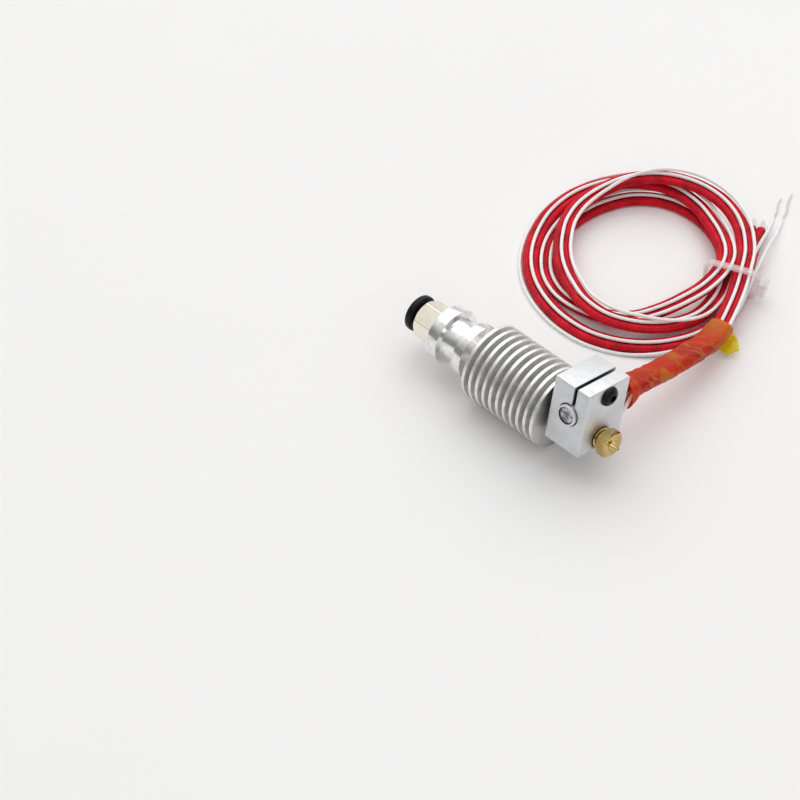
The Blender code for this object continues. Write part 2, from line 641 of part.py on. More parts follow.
def tail_line(length, swing, turn_out):
    """Line from the coil out to the free ends, lying on the table."""
    leave = coil_travel(COIL_TURNS)
    start = coil_point(COIL_TURNS)
    flat = Vector((leave.x, leave.y, 0.0)).normalized()
    outward = Vector((flat.y, -flat.x, 0.0))
    end = start + flat * length + outward * swing
    end.z = LOWER_LAYER
    last = (flat + outward * turn_out).normalized()
    return cubic(start, flat * length / 3, end, last * length / 3, 6)


def sideways_at(line, i):
    """Level unit vector to the right of a line's travel at one of its points."""
    ahead = line[min(i + 1, len(line) - 1)] - line[max(i - 1, 0)]
    return Vector((ahead.y, -ahead.x, 0.0)).normalized()


def beside(line, offsets):
    """Line that keeps beside another, by a (sideways, upward) offset at each point."""
    moved = []
    for i, (point, (right, up)) in enumerate(zip(line, offsets)):
        moved.append(point + sideways_at(line, i) * right + Vector((0, 0, up)))
    return moved


def against_lead_b(angle):
    """Offset of a thermistor lead that lies against heater lead b."""
    return (LEAD_SPACING / 2 + LEAD_CONTACT * math.cos(angle), LEAD_CONTACT * math.sin(angle))


def shoulder_offset(turn):
    """Lead 1 rides on the outer shoulder, on the inner one for the middle of the first turn, and beside
    the bundle on the table for most of the last turn."""
    lowered = smooth_step((turn - 2.2) / 0.2) - smooth_step((turn - 2.76) / 0.14)
    right, up = against_lead_b(OUTER_SHOULDER + (OUTER_SIDE - OUTER_SHOULDER) * lowered)
    share = smooth_step((turn - 0.1) / 0.3) - smooth_step((turn - 0.68) / 0.26)
    swing = math.pi * share
    return right * math.cos(swing), up + SHOULDER_CLIMB * math.sin(swing)


def thermistor_offsets(index, run_count, turns):
    """The leads swing up round heater lead b inside the tape, and then ride on the bundle."""
    first, last = THERMISTOR_ANGLES[index]
    angles = [first + (last - first) * smooth_step(i / (run_count - 1)) for i in range(run_count)]
    offsets = [against_lead_b(angle) for angle in angles]
    for turn in turns:
        offsets.append(shoulder_offset(turn) if index else against_lead_b(UPPER_VALLEY))
    return offsets


def thermistor_start(index):
    """Points from inside the thermistor's hole, out and up towards the end of the cartridge."""
    side = BLOCK_WIDTH / 2
    shift = (0.6 - 1.2 * index) * MM
    along = THERMISTOR_ALONG + shift
    height = THERMISTOR_HEIGHT
    return [
        block_to_table(height, -side + 0.4 * MM, along),
        block_to_table(height + 0.1 * MM, -side - 0.6 * MM, along),
        block_to_table(height + 0.6 * MM, -side - 1.5 * MM, along + shift / 6),
        block_to_table(height + 1.9 * MM, -side - 2.9 * MM, along + shift / 4),
    ]


def settle_tail(line):
    """Lets the last points of a raised lead sink to the table."""
    settled = list(line)
    for i, share in ((-2, 0.55), (-1, 1.0)):
        sink = (THERMISTOR_LEAD_RADIUS - settled[i].z) * share
        settled[i] = settled[i] + Vector((0, 0, sink))
    return settled


def make_leads(table):
    """Two heater leads and two thermistor leads, each with its stripped end."""
    run_out, turns = bundle_line()
    coil = [coil_point(turn) for turn in turns]
    heater_tail = tail_line(HEATER_TAIL, -1.0 * MM, 0.0)
    thermistor_tail = tail_line(THERMISTOR_TAIL, 2.5 * MM, 0.0)
    for name, side in (("heater_lead_a", -1), ("heater_lead_b", 1)):
        line = run_out + coil + heater_tail
        lead = beside(line, [(side * LEAD_SPACING / 2, 0.0)] * len(line))
        wire(name, lead, HEATER_LEAD_RADIUS, 1, "red_braid", table)
        make_tip(name + "_tip", lead, 0.45 * MM, 4.0 * MM, table)
    for index, name in enumerate(("thermistor_lead_a", "thermistor_lead_b")):
        line = run_out + coil + thermistor_tail
        offsets = thermistor_offsets(index, len(run_out), turns + [COIL_TURNS] * len(thermistor_tail))
        lead = settle_tail(beside(line, offsets))
        lead = thermistor_start(index) + lead[1:]
        wire(name, lead, THERMISTOR_LEAD_RADIUS, 1, "white_sleeve", table)
        make_tip(name + "_tip", lead, 0.2 * MM, (9.0 + 3.0 * index) * MM, table)


def make_tip(name, line, radius, length, table):
    """Stripped conductor that stands level out of a lead's free end."""
    along = line[-1] - line[-2]
    along.z = 0.0
    along.normalize()
    start = line[-1] + along * 0.25 * MM
    points = [start, start + along * length * 0.5, start + along * length]
    wire(name, points, radius, 1, "tinned_wire", table)


# ---------------------------------------------------------------- tape and tie

def tape_sections(run_out):
    """Rings of points round the bundle: flared at the block, flatter towards the coil."""
    line = [run_out[0].lerp(run_out[1], 0.12)] + run_out[1:-2] + [run_out[-2].lerp(run_out[-1], 0.4)]
    rings = []
    for i, centre in enumerate(line):
        flare = 1 - smooth_step(i / 2)
        right = sideways_at(line, i)
        ahead = line[min(i + 1, len(line) - 1)] - line[max(i - 1, 0)]
        up = right.cross(ahead).normalized()
        half_width = (3.9 + 0.9 * flare) * MM
        half_height = (2.6 + 1.9 * flare) * MM
        raised = smooth_step(i / (len(line) - 1)) - 0.5 - 0.8 * flare
        middle = centre + (right * 0.7 + up * raised) * MM
        ring = []
        for k in range(20):
            a = 2 * math.pi * k / 20
            ring.append(middle + right * half_width * math.cos(a) + up * half_height * math.sin(a))
        rings.append(ring)
    return rings


def make_tape_wrap(table):
    """Sleeve of tape, open at both ends, lofted along the taped stretch."""
    run_out, _ = bundle_line()
    rings = tape_sections(run_out)
    mesh = bpy.data.meshes.new("tape_wrap")
    shape = bmesh.new()
    rows = [[shape.verts.new(point) for point in ring] for ring in rings]
    for near, far in zip(rows, rows[1:]):
        for k in range(len(near)):
            after = (k + 1) % len(near)
            shape.faces.new((near[k], near[after], far[after], far[k]))
    bmesh.ops.recalc_face_normals(shape, faces=shape.faces)
    shape.to_mesh(mesh)
    shape.free()
    sleeve = place("tape_wrap", mesh, table, "amber_tape")
    solid = sleeve.modifiers.new("film", "SOLIDIFY")
    solid.thickness = TAPE_THICKNESS
    solid.offset = 1.0


def make_tape_flag(table):
    """Loose end of the inner yellow tape, a thin folded tab beyond the wrap."""
    run_out, _ = bundle_line()
    end = run_out[-1]
    outline = [(0, 0), (4.6, -3.4), (6.8, 0.4), (2.8, 4.4), (-0.4, 3.4)]
    curve = bpy.data.curves.new("tape_flag", "CURVE")
    curve.dimensions = "2D"
    curve.fill_mode = "BOTH"
    curve.extrude = 0.12 * MM
    spline = curve.splines.new("POLY")
    spline.points.add(len(outline) - 1)
    for slot, (x, y) in zip(spline.points, outline):
        slot.co = (x * MM, y * MM, 0.0, 1.0)
    spline.use_cyclic_u = True
    place("tape_flag", curve, table, "yellow_tape", location=end + Vector((2.0, -3.6, -2.4)) * MM,
          rotation=(math.radians(-8), math.radians(20), math.radians(10)))


def rounded_loop(curve, low, high, radius):
    """Adds a closed rounded rectangle between two corners to a flat curve."""
    spline = curve.splines.new("POLY")
    corners = [((high[0] - radius, high[1] - radius), 0), ((low[0] + radius, high[1] - radius), 90),
               ((low[0] + radius, low[1] + radius), 180), ((high[0] - radius, low[1] + radius), 270)]
    points = []
    for (x, y), start in corners:
        for step in range(4):
            a = math.radians(start + 30 * step)
            points.append((x + radius * math.cos(a), y + radius * math.sin(a)))
    spline.points.add(len(points) - 1)
    for slot, (x, y) in zip(spline.points, points):
        slot.co = (x, y, 0.0, 1.0)
    spline.use_cyclic_u = True


def make_cable_tie(table):
    """Nylon band round the four passes of the bundle, with its lock head on the outer side."""
    inner_low = (coil_lane(2 + TIE_TURN)[0] - LEAD_SPACING / 2 - HEATER_LEAD_RADIUS - 0.9 * MM,
                 TIE_LIFT - 0.35 * MM)
    shoulder = against_lead_b(OUTER_SHOULDER)
    inner_high = (coil_lane(COIL_TURNS)[0] + shoulder[0] + THERMISTOR_LEAD_RADIUS + 0.9 * MM,
                  LOWER_LAYER + LAYER_RISE + TIE_LIFT + shoulder[1] + THERMISTOR_LEAD_RADIUS + 0.5 * MM)
    wall = TIE_BAND_THICKNESS
    curve = bpy.data.curves.new("cable_tie", "CURVE")
    curve.dimensions = "2D"
    curve.fill_mode = "BOTH"
    curve.extrude = TIE_BAND_WIDTH / 2
    rounded_loop(curve, inner_low, inner_high, 1.6 * MM)
    rounded_loop(curve, (inner_low[0] - wall, inner_low[1] - wall),
                 (inner_high[0] + wall, inner_high[1] + wall), 2.6 * MM)
    band = place("cable_tie_band", curve, table, location=COIL_CENTRE,
                 rotation=(math.pi / 2, 0, TIE_HEADING))
    bpy.context.view_layer.update()
    seen = band.evaluated_get(bpy.context.evaluated_depsgraph_get())
    mesh = bpy.data.meshes.new_from_object(seen)
    shape = bmesh.new()
    shape.from_mesh(mesh)
    bmesh.ops.remove_doubles(shape, verts=shape.verts, dist=0.00001)
    shape.to_mesh(mesh)
    shape.free()
    tie = place("cable_tie", mesh, table, "clear_nylon", location=band.location,
                rotation=band.rotation_euler)
    bpy.data.objects.remove(band)
    head = box("cable_tie_head", (3.4 * MM, 4.4 * MM, 4.6 * MM), parent=table,
               location=beyond_tie(inner_high[0] + 1.6 * MM, 5.0 * MM),
               rotation=(math.pi / 2, 0, TIE_HEADING))
    combine(tie, head, "UNION")


def beyond_tie(outward, height):
    """Point at a distance from the coil's centre, in the direction of the tie."""
    return COIL_CENTRE + Vector((math.cos(TIE_HEADING) * outward, math.sin(TIE_HEADING) * outward, height))


# ---------------------------------------------------------------- whole object

def centre_on_footprint(table):
    """Moves everything so the origin lies under the middle of the footprint, on the table."""
    bpy.context.view_layer.update()
    graph = bpy.context.evaluated_depsgraph_get()
    points = []
    for piece in PARTS.objects:
        seen = piece.evaluated_get(graph)
        mesh = seen.to_mesh()
        points += [piece.matrix_world @ vertex.co for vertex in mesh.vertices]
        seen.to_mesh_clear()
    for axis in (0, 1):
        values = [point[axis] for point in points]
        table.location[axis] = -(min(values) + max(values)) / 2
    table.location[2] = -min(point[2] for point in points)


def shade_pieces():
    """Smooth shading across curved faces, with real edges kept sharp."""
    bpy.context.view_layer.update()
    for piece in PARTS.objects:
        if piece.type != "MESH":
            continue
        graph = bpy.context.evaluated_depsgraph_get()
        mesh = bpy.data.meshes.new_from_object(piece.evaluated_get(graph))
        mesh.shade_smooth()
        mesh.set_sharp_from_angle(angle=SMOOTH_ANGLE)
        mesh.name = piece.name
        piece.modifiers.clear()
        piece.data = mesh


def build():
    table = new_frame("table_frame")
    upright = Matrix(((0, 0, 1), (0, -1, 0), (1, 0, 0))).to_euler()
    axis = new_frame("hotend_axis", table, (0, 0, FIN_RADIUS), upright)
    block = new_frame("block_roll", axis, rotation=(0, 0, -BLOCK_ROLL))
    make_heat_sink(axis)
    make_coupling_body(axis)
    make_collet_retainer(axis)
    make_release_collet(axis)
    make_grip_ring(axis)
    make_tube_seal(axis)
    make_tube_liner(axis)
    make_heat_break(axis)
    make_nozzle(axis)
    make_heater_block(block)
    make_cartridge(block)
    make_button_screw("clamp_screw", CLAMP_SCREW_REACH, "black_steel", parent=block,
                      location=(SCREW_HEIGHT, 0, BLOCK_END + FACE_GAP))
    make_thermistor(block)
    make_leads(table)
    make_tape_wrap(table)
    make_tape_flag(table)
    make_cable_tie(table)
    shade_pieces()
    centre_on_footprint(table)


clear_scene()
PARTS = new_collection("hotend_assembly")
CUTTERS = new_collection("cutters")
build()
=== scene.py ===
import json
import math

import bmesh
import bpy
from mathutils import Matrix, Vector, noise


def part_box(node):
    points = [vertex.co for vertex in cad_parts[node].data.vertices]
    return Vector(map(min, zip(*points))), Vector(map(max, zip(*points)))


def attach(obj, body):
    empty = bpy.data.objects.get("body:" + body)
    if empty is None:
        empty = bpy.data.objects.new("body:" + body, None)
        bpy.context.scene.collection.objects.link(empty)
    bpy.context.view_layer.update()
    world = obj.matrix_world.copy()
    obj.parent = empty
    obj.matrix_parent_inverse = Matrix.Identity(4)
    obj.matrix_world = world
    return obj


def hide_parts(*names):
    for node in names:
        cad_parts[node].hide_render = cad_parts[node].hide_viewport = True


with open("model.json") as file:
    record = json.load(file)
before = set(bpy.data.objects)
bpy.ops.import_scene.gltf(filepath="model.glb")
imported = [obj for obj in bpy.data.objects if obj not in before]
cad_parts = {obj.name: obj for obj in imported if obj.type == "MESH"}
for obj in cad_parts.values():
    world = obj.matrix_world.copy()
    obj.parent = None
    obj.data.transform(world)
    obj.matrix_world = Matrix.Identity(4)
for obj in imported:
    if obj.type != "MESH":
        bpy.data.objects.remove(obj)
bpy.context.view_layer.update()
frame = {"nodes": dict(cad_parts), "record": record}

# Finished look of the hotend on its table. Metres, +Z up. "TABLE" moves the point under the heat sink's
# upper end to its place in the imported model; "AXIS" has its Z along the hotend, its X up and its Y away
# from the coil; "BLOCK" is the same frame turned by the heater block's roll.

MM = 0.001

# Heat sink
FLANGE_RADIUS = 8.0 * MM
GROOVE_RADIUS = 6.0 * MM
UPPER_FLANGE_END = 3.7 * MM
GROOVE_END = 9.7 * MM
LOWER_FLANGE_END = 12.7 * MM
FIN_RADIUS = 11.15 * MM
FIN_CORE_RADIUS = 4.9 * MM
FIN_THICKNESS = 1.0 * MM
FIN_PITCH = 2.5 * MM
FIN_COUNT = 11
FIRST_FIN = 16.7 * MM
SINK_END = FIRST_FIN + (FIN_COUNT - 1) * FIN_PITCH + FIN_THICKNESS
SINK_BORE = 4.95 * MM
SINK_BORE_FLOOR = 9.0 * MM
TUBE_WAY = 2.3 * MM
BREAK_BORE = 3.65 * MM
BREAK_TOP = 28.7 * MM

# Coupling, its retainer and its collet
HEX_FLATS = 10.0 * MM
HEX_LENGTH = 7.8 * MM
HEX_CHAMFER = 0.7 * MM
HEX_TURN = math.radians(-26.0)
SHANK_RADIUS = 4.8 * MM
CAVITY_RADIUS = 4.25 * MM
COLLET_TOP = -11.1 * MM
COLLET_UNDERSIDE = -9.0 * MM
COLLET_RADIUS = 5.3 * MM
COLLET_BORE = 2.15 * MM
SLEEVE_RADIUS = 3.2 * MM
SLEEVE_END = -4.3 * MM

# Heater block
BLOCK_ROLL = math.radians(10.0)
BLOCK_START = SINK_END + 2.1 * MM
BLOCK_LENGTH = 12.0 * MM
BLOCK_END = BLOCK_START + BLOCK_LENGTH
BLOCK_HEIGHT = 20.0 * MM
BLOCK_WIDTH = 16.0 * MM
BLOCK_TOP = 16.4 * MM
M6_RADIUS = 3.0 * MM
M6_BORE = 3.2 * MM
CARTRIDGE_RADIUS = 3.0 * MM
CARTRIDGE_LENGTH = 20.0 * MM
CARTRIDGE_PROUD = 1.0 * MM
CARTRIDGE_HEIGHT = 7.4 * MM
CARTRIDGE_ALONG = BLOCK_START + 6.3 * MM
SLIT_WIDTH = 1.1 * MM
SLIT_ALONG = BLOCK_START + 7.4 * MM
SCREW_HEIGHT = 13.5 * MM
SCREW_RADIUS = 1.5 * MM
SCREW_BORE = 1.7 * MM
SCREW_HEAD_RADIUS = 2.85 * MM
SCREW_HEAD_HEIGHT = 1.65 * MM

# Nozzle
NOZZLE_START = BLOCK_START + 5.7 * MM
NOZZLE_HEX_START = BLOCK_END + 1.5 * MM
NOZZLE_HEX_END = NOZZLE_HEX_START + 3.0 * MM
NOZZLE_TIP = NOZZLE_HEX_END + 2.0 * MM
NOZZLE_HEX_TURN = math.radians(34.0)
NOZZLE_RELIEF_START = NOZZLE_HEX_START - 0.8 * MM
NOZZLE_RELIEF_RADIUS = 2.3 * MM
NOZZLE_CONE_RADIUS = 1.6 * MM

# Thermistor, its screw and its washer
THERMISTOR_ALONG = BLOCK_START + 9.6 * MM
THERMISTOR_HEIGHT = 2.0 * MM
RETAINING_ALONG = BLOCK_START + 3.4 * MM
RETAINING_HEIGHT = 0.6 * MM

# Leads and their bundle
HEATER_LEAD_RADIUS = 1.15 * MM
THERMISTOR_LEAD_RADIUS = 0.5 * MM
LEAD_SPACING = 2.6 * MM
LEAD_CONTACT = HEATER_LEAD_RADIUS + THERMISTOR_LEAD_RADIUS + 0.32 * MM
UPPER_VALLEY = math.pi - math.acos(LEAD_SPACING / 2 / LEAD_CONTACT)
OUTER_SHOULDER = math.radians(50.0)
OUTER_SIDE = math.radians(-18.0)
SHOULDER_CLIMB = 1.35 * MM
THERMISTOR_ANGLES = ((math.radians(-35.0), UPPER_VALLEY), (math.radians(-100.0), OUTER_SHOULDER))

# Coil
COIL_CENTRE = Vector((10.0 * MM, 65.4 * MM, 0.0))
START_HEADING = math.radians(31.7)
COIL_TURNS = 2.97
TIE_TURN = -0.022
TIE_HEADING = START_HEADING + 2 * math.pi * TIE_TURN
LOWER_LAYER = HEATER_LEAD_RADIUS
LAYER_RISE = 3.7 * MM
TIE_LIFT = 1.4 * MM
POINTS_PER_TURN = 20
LANE_RADII = (
    30.2, 31.8, 30.6, 26.0, 21.2, 22.1, 28.4, 28.2,
    25.2, 27.2, 29.2, 25.4, 23.8, 24.6, 23.2, 22.6,
    24.8, 26.2, 31.8, 31.4, 29.4, 30.1, 33.4, 33.6,
    30.4,
)
LANE_LAYERS = (
    1.0, 1.9, 1.95, 1.2, 1.0, 1.0, 1.0, 0.35,
    0.0, 0.0, 0.0, 0.0, 0.0, 0.0, 0.0, 1.0,
    1.0, 1.0, 0.95, 0.66, 0.0, 0.0, 0.0, 0.0,
    0.0,
)
KNOTS_PER_TURN = 8
RUN_IN_TURN = 0.108
RUN_IN_LANE = 6.5 * MM
RUN_IN_RISE = 0.9 * MM
HEATER_TAIL = 29.0 * MM
THERMISTOR_TAIL = 36.0 * MM

TIE_BAND_WIDTH = 2.1 * MM
TIE_BAND_THICKNESS = 1.0 * MM

# Finishes and mesh fineness
FACE_DULLNESS = 0.24
RIM_DULLNESS = 0.22
ROUND_STEPS = 144
LEAD_RINGS_PER_STEP = 9
TAPE_RINGS_PER_STEP = 9
TAPE_SIDES = 72
TAPE_FILM = 0.12 * MM
FLAG_FILM = 0.14 * MM
SOFT_EDGE = 0.14 * MM
SMOOTH_ANGLE = math.radians(32.0)

# Camera, seen from the table's frame
CAMERA_PLACE = (417.6 * MM, -425.5 * MM, 562.9 * MM)
CAMERA_FORWARD = (-0.5136, 0.5018, -0.696)
CAMERA_RIGHT = (0.6987, 0.7154, 0.0003)

SINK_LOW, SINK_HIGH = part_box("heat_sink")
TABLE = Matrix.Translation((SINK_LOW.x, (SINK_LOW.y + SINK_HIGH.y) / 2, 0.0))
UPRIGHT = Matrix(((0, 0, 1, 0), (0, -1, 0, 0), (1, 0, 0, FIN_RADIUS), (0, 0, 0, 1)))
AXIS = TABLE @ UPRIGHT
BLOCK = AXIS @ Matrix.Rotation(-BLOCK_ROLL, 4, "Z")
ACROSS = Matrix.Rotation(math.pi / 2, 4, "X")


# ---- material helpers

def feed(tree, socket, value):
    """Gives an input a plain value, or links it from another node's socket."""
    if isinstance(value, bpy.types.NodeSocket):
        tree.links.new(value, socket)
    else:
        socket.default_value = value


def add(tree, kind, values=None, **settings):
    node = tree.nodes.new("ShaderNode" + kind)
    for key, value in settings.items():
        setattr(node, key, value)
    for key, value in (values or {}).items():
        feed(tree, node.inputs[key], value)
    return node


def calc(tree, operation, first, second=0.0, third=0.0):
    return add(tree, "Math", {0: first, 1: second, 2: third}, operation=operation).outputs[0]


def times(tree, first, second):
    return calc(tree, "MULTIPLY", first, second)


def between(tree, factor, low, high, start=0.0, end=1.0):
    """Moves a factor that runs from start to end into the range low to high."""
    return add(tree, "MapRange", {0: factor, 1: start, 2: end, 3: low, 4: high}).outputs[0]


def spread(tree, patches, low, high):
    """Moves the usual values of a cloud, 0.3 to 0.7, into the range low to high."""
    return between(tree, patches, low, high, 0.3, 0.7)


def blend_colour(tree, factor, first, second, how="MIX"):
    """Blends two colours, each of them a red, green and blue triple or a socket."""
    ends = [end if isinstance(end, bpy.types.NodeSocket) else (*end, 1.0) for end in (first, second)]
    mixed = add(tree, "Mix", {0: factor, 6: ends[0], 7: ends[1]}, data_type="RGBA", blend_type=how)
    return mixed.outputs[2]


def patchy(tree, patches, first, second, start=0.35, end=0.7):
    """Colour that changes from the first to the second with a cloud of patches."""
    return blend_colour(tree, between(tree, patches, 0.0, 1.0, start, end), first, second)


def split(tree, where):
    return add(tree, "SeparateXYZ", {0: where}).outputs


def radius_about_z(tree, parts):
    flat = add(tree, "CombineXYZ", {0: parts[0], 1: parts[1]}).outputs[0]
    return add(tree, "VectorMath", {0: flat}, operation="LENGTH").outputs["Value"]


def lay_of(tree):
    """Turns round a lead or a sleeve, and the distance along it, from its mapping."""
    parts = split(tree, add(tree, "TexCoord").outputs["UV"])
    return parts[0], parts[1]


def strand(tree, around, along, laps, period):
    """Wave that winds round a lead; with a negative period it winds the other way."""
    lap = times(tree, around, laps * 2 * math.pi)
    run = times(tree, along, 2 * math.pi / period)
    return calc(tree, "SINE", calc(tree, "ADD", lap, run))


def weighted(tree, first, first_share, second, second_share=1.0):
    return calc(tree, "MULTIPLY_ADD", first, first_share, times(tree, second, second_share))


def cloud(tree, where, scale, detail=3.0, rough=0.55):
    return add(tree, "TexNoise", {"Vector": where, "Scale": scale, "Detail": detail,
                                  "Roughness": rough}).outputs[0]


def new_look(name, make, *values):
    """Material whose node tree is filled by one of the functions of the next section."""
    look = bpy.data.materials.new(name)
    look.use_nodes = True
    tree = look.node_tree
    make(tree, add(tree, "TexCoord").outputs["Object"], *values)
    return look


def set_surface(tree, **inputs):
    for key, value in inputs.items():
        feed(tree, tree.nodes["Principled BSDF"].inputs[key.replace("_", " ")], value)


def give_bump(tree, height, depth, strength):
    bump = add(tree, "Bump", {"Height": height, "Distance": depth, "Strength": strength})
    set_surface(tree, Normal=bump.outputs[0])


def crevice_shade(tree, reach, darkest):
    """Painted shade: a factor that falls towards the darkest value inside narrow slits and corners."""
    hidden = add(tree, "AmbientOcclusion", {"Distance": reach}, samples=8).outputs["AO"]
    return between(tree, hidden, darkest, 1.0, 0.15, 0.75)


def darkened(tree, colour, factor):
    shade = add(tree, "CombineColor", {0: factor, 1: factor, 2: factor}).outputs[0]
    return blend_colour(tree, 1.0, colour, shade, "MULTIPLY")


def see_through(tree, share, tint):
    """Lets part of the light straight through a thin film, tinted on its way."""
    clear = add(tree, "BsdfTransparent", {0: (*tint, 1.0)})
    film = tree.nodes["Principled BSDF"].outputs[0]
    mixed = add(tree, "MixShader", {0: share, 1: film, 2: clear.outputs[0]})
    tree.links.new(mixed.outputs[0], tree.nodes["Material Output"].inputs["Surface"])


# ---- materials

def brushed_shade(tree, parts, patches):
    """Brightness of turned faces: fans of light and dark spread round the axis."""
    heading = calc(tree, "ARCTAN2", parts[1], parts[0])
    wedge = add(tree, "CombineXYZ", {
        0: times(tree, heading, 5.0),
        1: times(tree, patches, 0.6),
        2: times(tree, parts[2], 500.0),
    })
    return between(tree, cloud(tree, wedge.outputs[0], 1.0, 3.0, 0.65), 0.78, 1.0, 0.3, 0.62)


def end_shade(tree, parts):
    """Darkens only the last fin's far face, where the heater block stands close in front of it."""
    at_end = between(tree, parts[2], 0.0, 1.0, SINK_END - 0.08 * MM, SINK_END - 0.02 * MM)
    hidden = calc(tree, "SUBTRACT", 1.0, crevice_shade(tree, 9.0 * MM, 0.08))
    return calc(tree, "SUBTRACT", 1.0, times(tree, at_end, hidden))


def polish_fins(tree, parts, patches, polish, colour, worn):
    """Keeps the collars bright, makes the fins' rims satin and their faces duller."""
    radius = radius_about_z(tree, parts)
    on_rim = between(tree, radius, 0.0, 1.0, FIN_RADIUS - 0.22 * MM, FIN_RADIUS - 0.12 * MM)
    on_collar = between(tree, parts[2], 1.0, 0.0, FIRST_FIN - 0.8 * MM, FIRST_FIN - 0.7 * MM)
    shine = calc(tree, "MAXIMUM", on_rim, on_collar)
    # Painted shade: fans of light and dark on the turned faces, times the darkening of the last fin's far
    # face.
    painted_shade = times(tree, brushed_shade(tree, parts, patches), end_shade(tree, parts))
    dull_face = between(tree, shine, FACE_DULLNESS, 0.0)
    matt = calc(tree, "MAXIMUM", dull_face, between(tree, on_rim, 0.0, RIM_DULLNESS))
    set_surface(tree, Metallic=between(tree, shine, 0.72, 1.0),
                Roughness=calc(tree, "ADD", polish, matt), Anisotropic=between(tree, shine, 0.2, 0.35),
                Base_Color=darkened(tree, blend_colour(tree, shine, worn, colour), painted_shade))


def turned_metal(tree, where, colour, worn, roughness, ring_depth, anisotropy=0.5, finned=False):
    """Lathe-turned metal: fine rings about local Z, patches of wear and uneven polish."""
    parts = split(tree, where)
    ringed = add(tree, "CombineXYZ", {0: radius_about_z(tree, parts), 1: parts[2]}).outputs[0]
    rings = cloud(tree, ringed, 5200.0, 2.0, 0.7)
    wide_rings = cloud(tree, ringed, 1300.0, 2.0, 0.6)
    patches = cloud(tree, where, 260.0, 4.0, 0.6)
    specks = cloud(tree, where, 3400.0, 2.0, 0.7)
    polish = calc(tree, "ADD", spread(tree, rings, -0.06, 0.06),
                  spread(tree, patches, roughness - 0.03, roughness + 0.05))
    if finned:
        polish_fins(tree, parts, patches, polish, colour, worn)
    else:
        set_surface(tree, Metallic=1.0, Roughness=polish, Anisotropic=anisotropy,
                    Base_Color=patchy(tree, patches, colour, worn))
    tangent = add(tree, "Tangent", direction_type="RADIAL", axis="Z")
    set_surface(tree, Tangent=tangent.outputs[0])
    give_bump(tree, calc(tree, "ADD", rings, weighted(tree, wide_rings, 0.6, specks, 0.25)), ring_depth, 0.6)


def milled_metal(tree, where, colour, worn, roughness, depth, scale=5200.0):
    """Bead-blasted or plated metal: fine even grain, faint scratches and cloudy tone, with painted shade in
    slits and corners.
    """
    grain = cloud(tree, where, scale, 3.0, 0.7)
    patches = cloud(tree, where, 330.0, 4.0, 0.6)
    stretched = add(tree, "Mapping", {0: where, 3: (900.0, 5200.0, 500.0)}).outputs[0]
    scratches = cloud(tree, stretched, 1.0, 2.0, 0.5)
    fine = between(tree, scratches, 0.0, 1.0, 0.56, 0.72)
    polish = calc(tree, "ADD", spread(tree, patches, roughness - 0.05, roughness + 0.07),
                  times(tree, fine, 0.1))
    height = calc(tree, "SUBTRACT", grain, times(tree, fine, 0.5))
    # Painted shade: the colour darkens with ambient occlusion inside slits, bores and corners.
    tone = darkened(tree, patchy(tree, patches, colour, worn), crevice_shade(tree, 2.5 * MM, 0.06))
    set_surface(tree, Metallic=1.0, Roughness=polish, Base_Color=tone)
    give_bump(tree, height, depth, 0.6)


def moulded_plastic(tree, where, colour, faded, roughness, depth, coat=0.0, specular=0.5):
    grain = cloud(tree, where, 4200.0, 3.0, 0.6)
    patches = cloud(tree, where, 420.0, 3.0, 0.6)
    set_surface(tree, Roughness=spread(tree, patches, roughness - 0.06, roughness + 0.1),
                Coat_Weight=coat, Coat_Roughness=0.15, Specular_IOR_Level=specular,
                Base_Color=patchy(tree, patches, colour, faded, 0.3))
    give_bump(tree, grain, depth, 0.5)


def cartridge_steel(tree, where):
    """Dull drawn sheath: a bright rolled rim round a stained and pitted end, a painted shadow as a
    near-black ring inside the rim, and painted shade in narrow corners.
    """
    radius = radius_about_z(tree, split(tree, where))
    specks = cloud(tree, where, 1500.0, 3.0, 0.75)
    stains = cloud(tree, where, 620.0, 3.0, 0.6)
    rim = between(tree, radius, 0.0, 1.0, 2.42 * MM, 2.56 * MM)
    outside_end = between(tree, radius, 0.0, 1.0, 2.0 * MM, 2.2 * MM)
    # Painted shadow: a near-black ring on the slope of the recess inside the rim.
    moat_shade = times(tree, outside_end, calc(tree, "SUBTRACT", 1.0, rim))
    stained = patchy(tree, stains, (0.62, 0.62, 0.64), (0.20, 0.20, 0.21), 0.42, 0.56)
    ringed = blend_colour(tree, moat_shade, stained, (0.05, 0.05, 0.05))
    bright = blend_colour(tree, rim, ringed, (0.80, 0.80, 0.81))
    set_surface(tree, Metallic=0.85, Roughness=spread(tree, specks, 0.3, 0.6),
                Base_Color=darkened(tree, bright, crevice_shade(tree, 1.2 * MM, 0.1)))
    give_bump(tree, specks, 0.05 * MM, 0.8)


def braid(tree, where):
    """Varnished braided sleeve: two sets of strands winding opposite ways round the lead."""
    around, along = lay_of(tree)
    left, right = (strand(tree, around, along, 6, period) for period in (0.8, -0.8))
    strands = between(tree, times(tree, left, right), 0.0, 1.0, -0.9, 0.9)
    fuzz = cloud(tree, where, 2400.0, 3.0, 0.75)
    patches = cloud(tree, where, 240.0, 4.0, 0.6)
    mottle = spread(tree, patches, -0.2, 0.2)
    shade = calc(tree, "ADD", weighted(tree, strands, 0.6, fuzz, 0.7), mottle)
    tone = patchy(tree, shade, (0.22, 0.0004, 0.005), (0.95, 0.004, 0.026), 0.38, 0.88)
    set_surface(tree, Base_Color=tone, Roughness=spread(tree, fuzz, 0.45, 0.65),
                Coat_Weight=0.02, Coat_Roughness=0.35, Specular_IOR_Level=0.22)
    give_bump(tree, weighted(tree, fuzz, 0.5, strands), 0.10 * MM, 0.9)


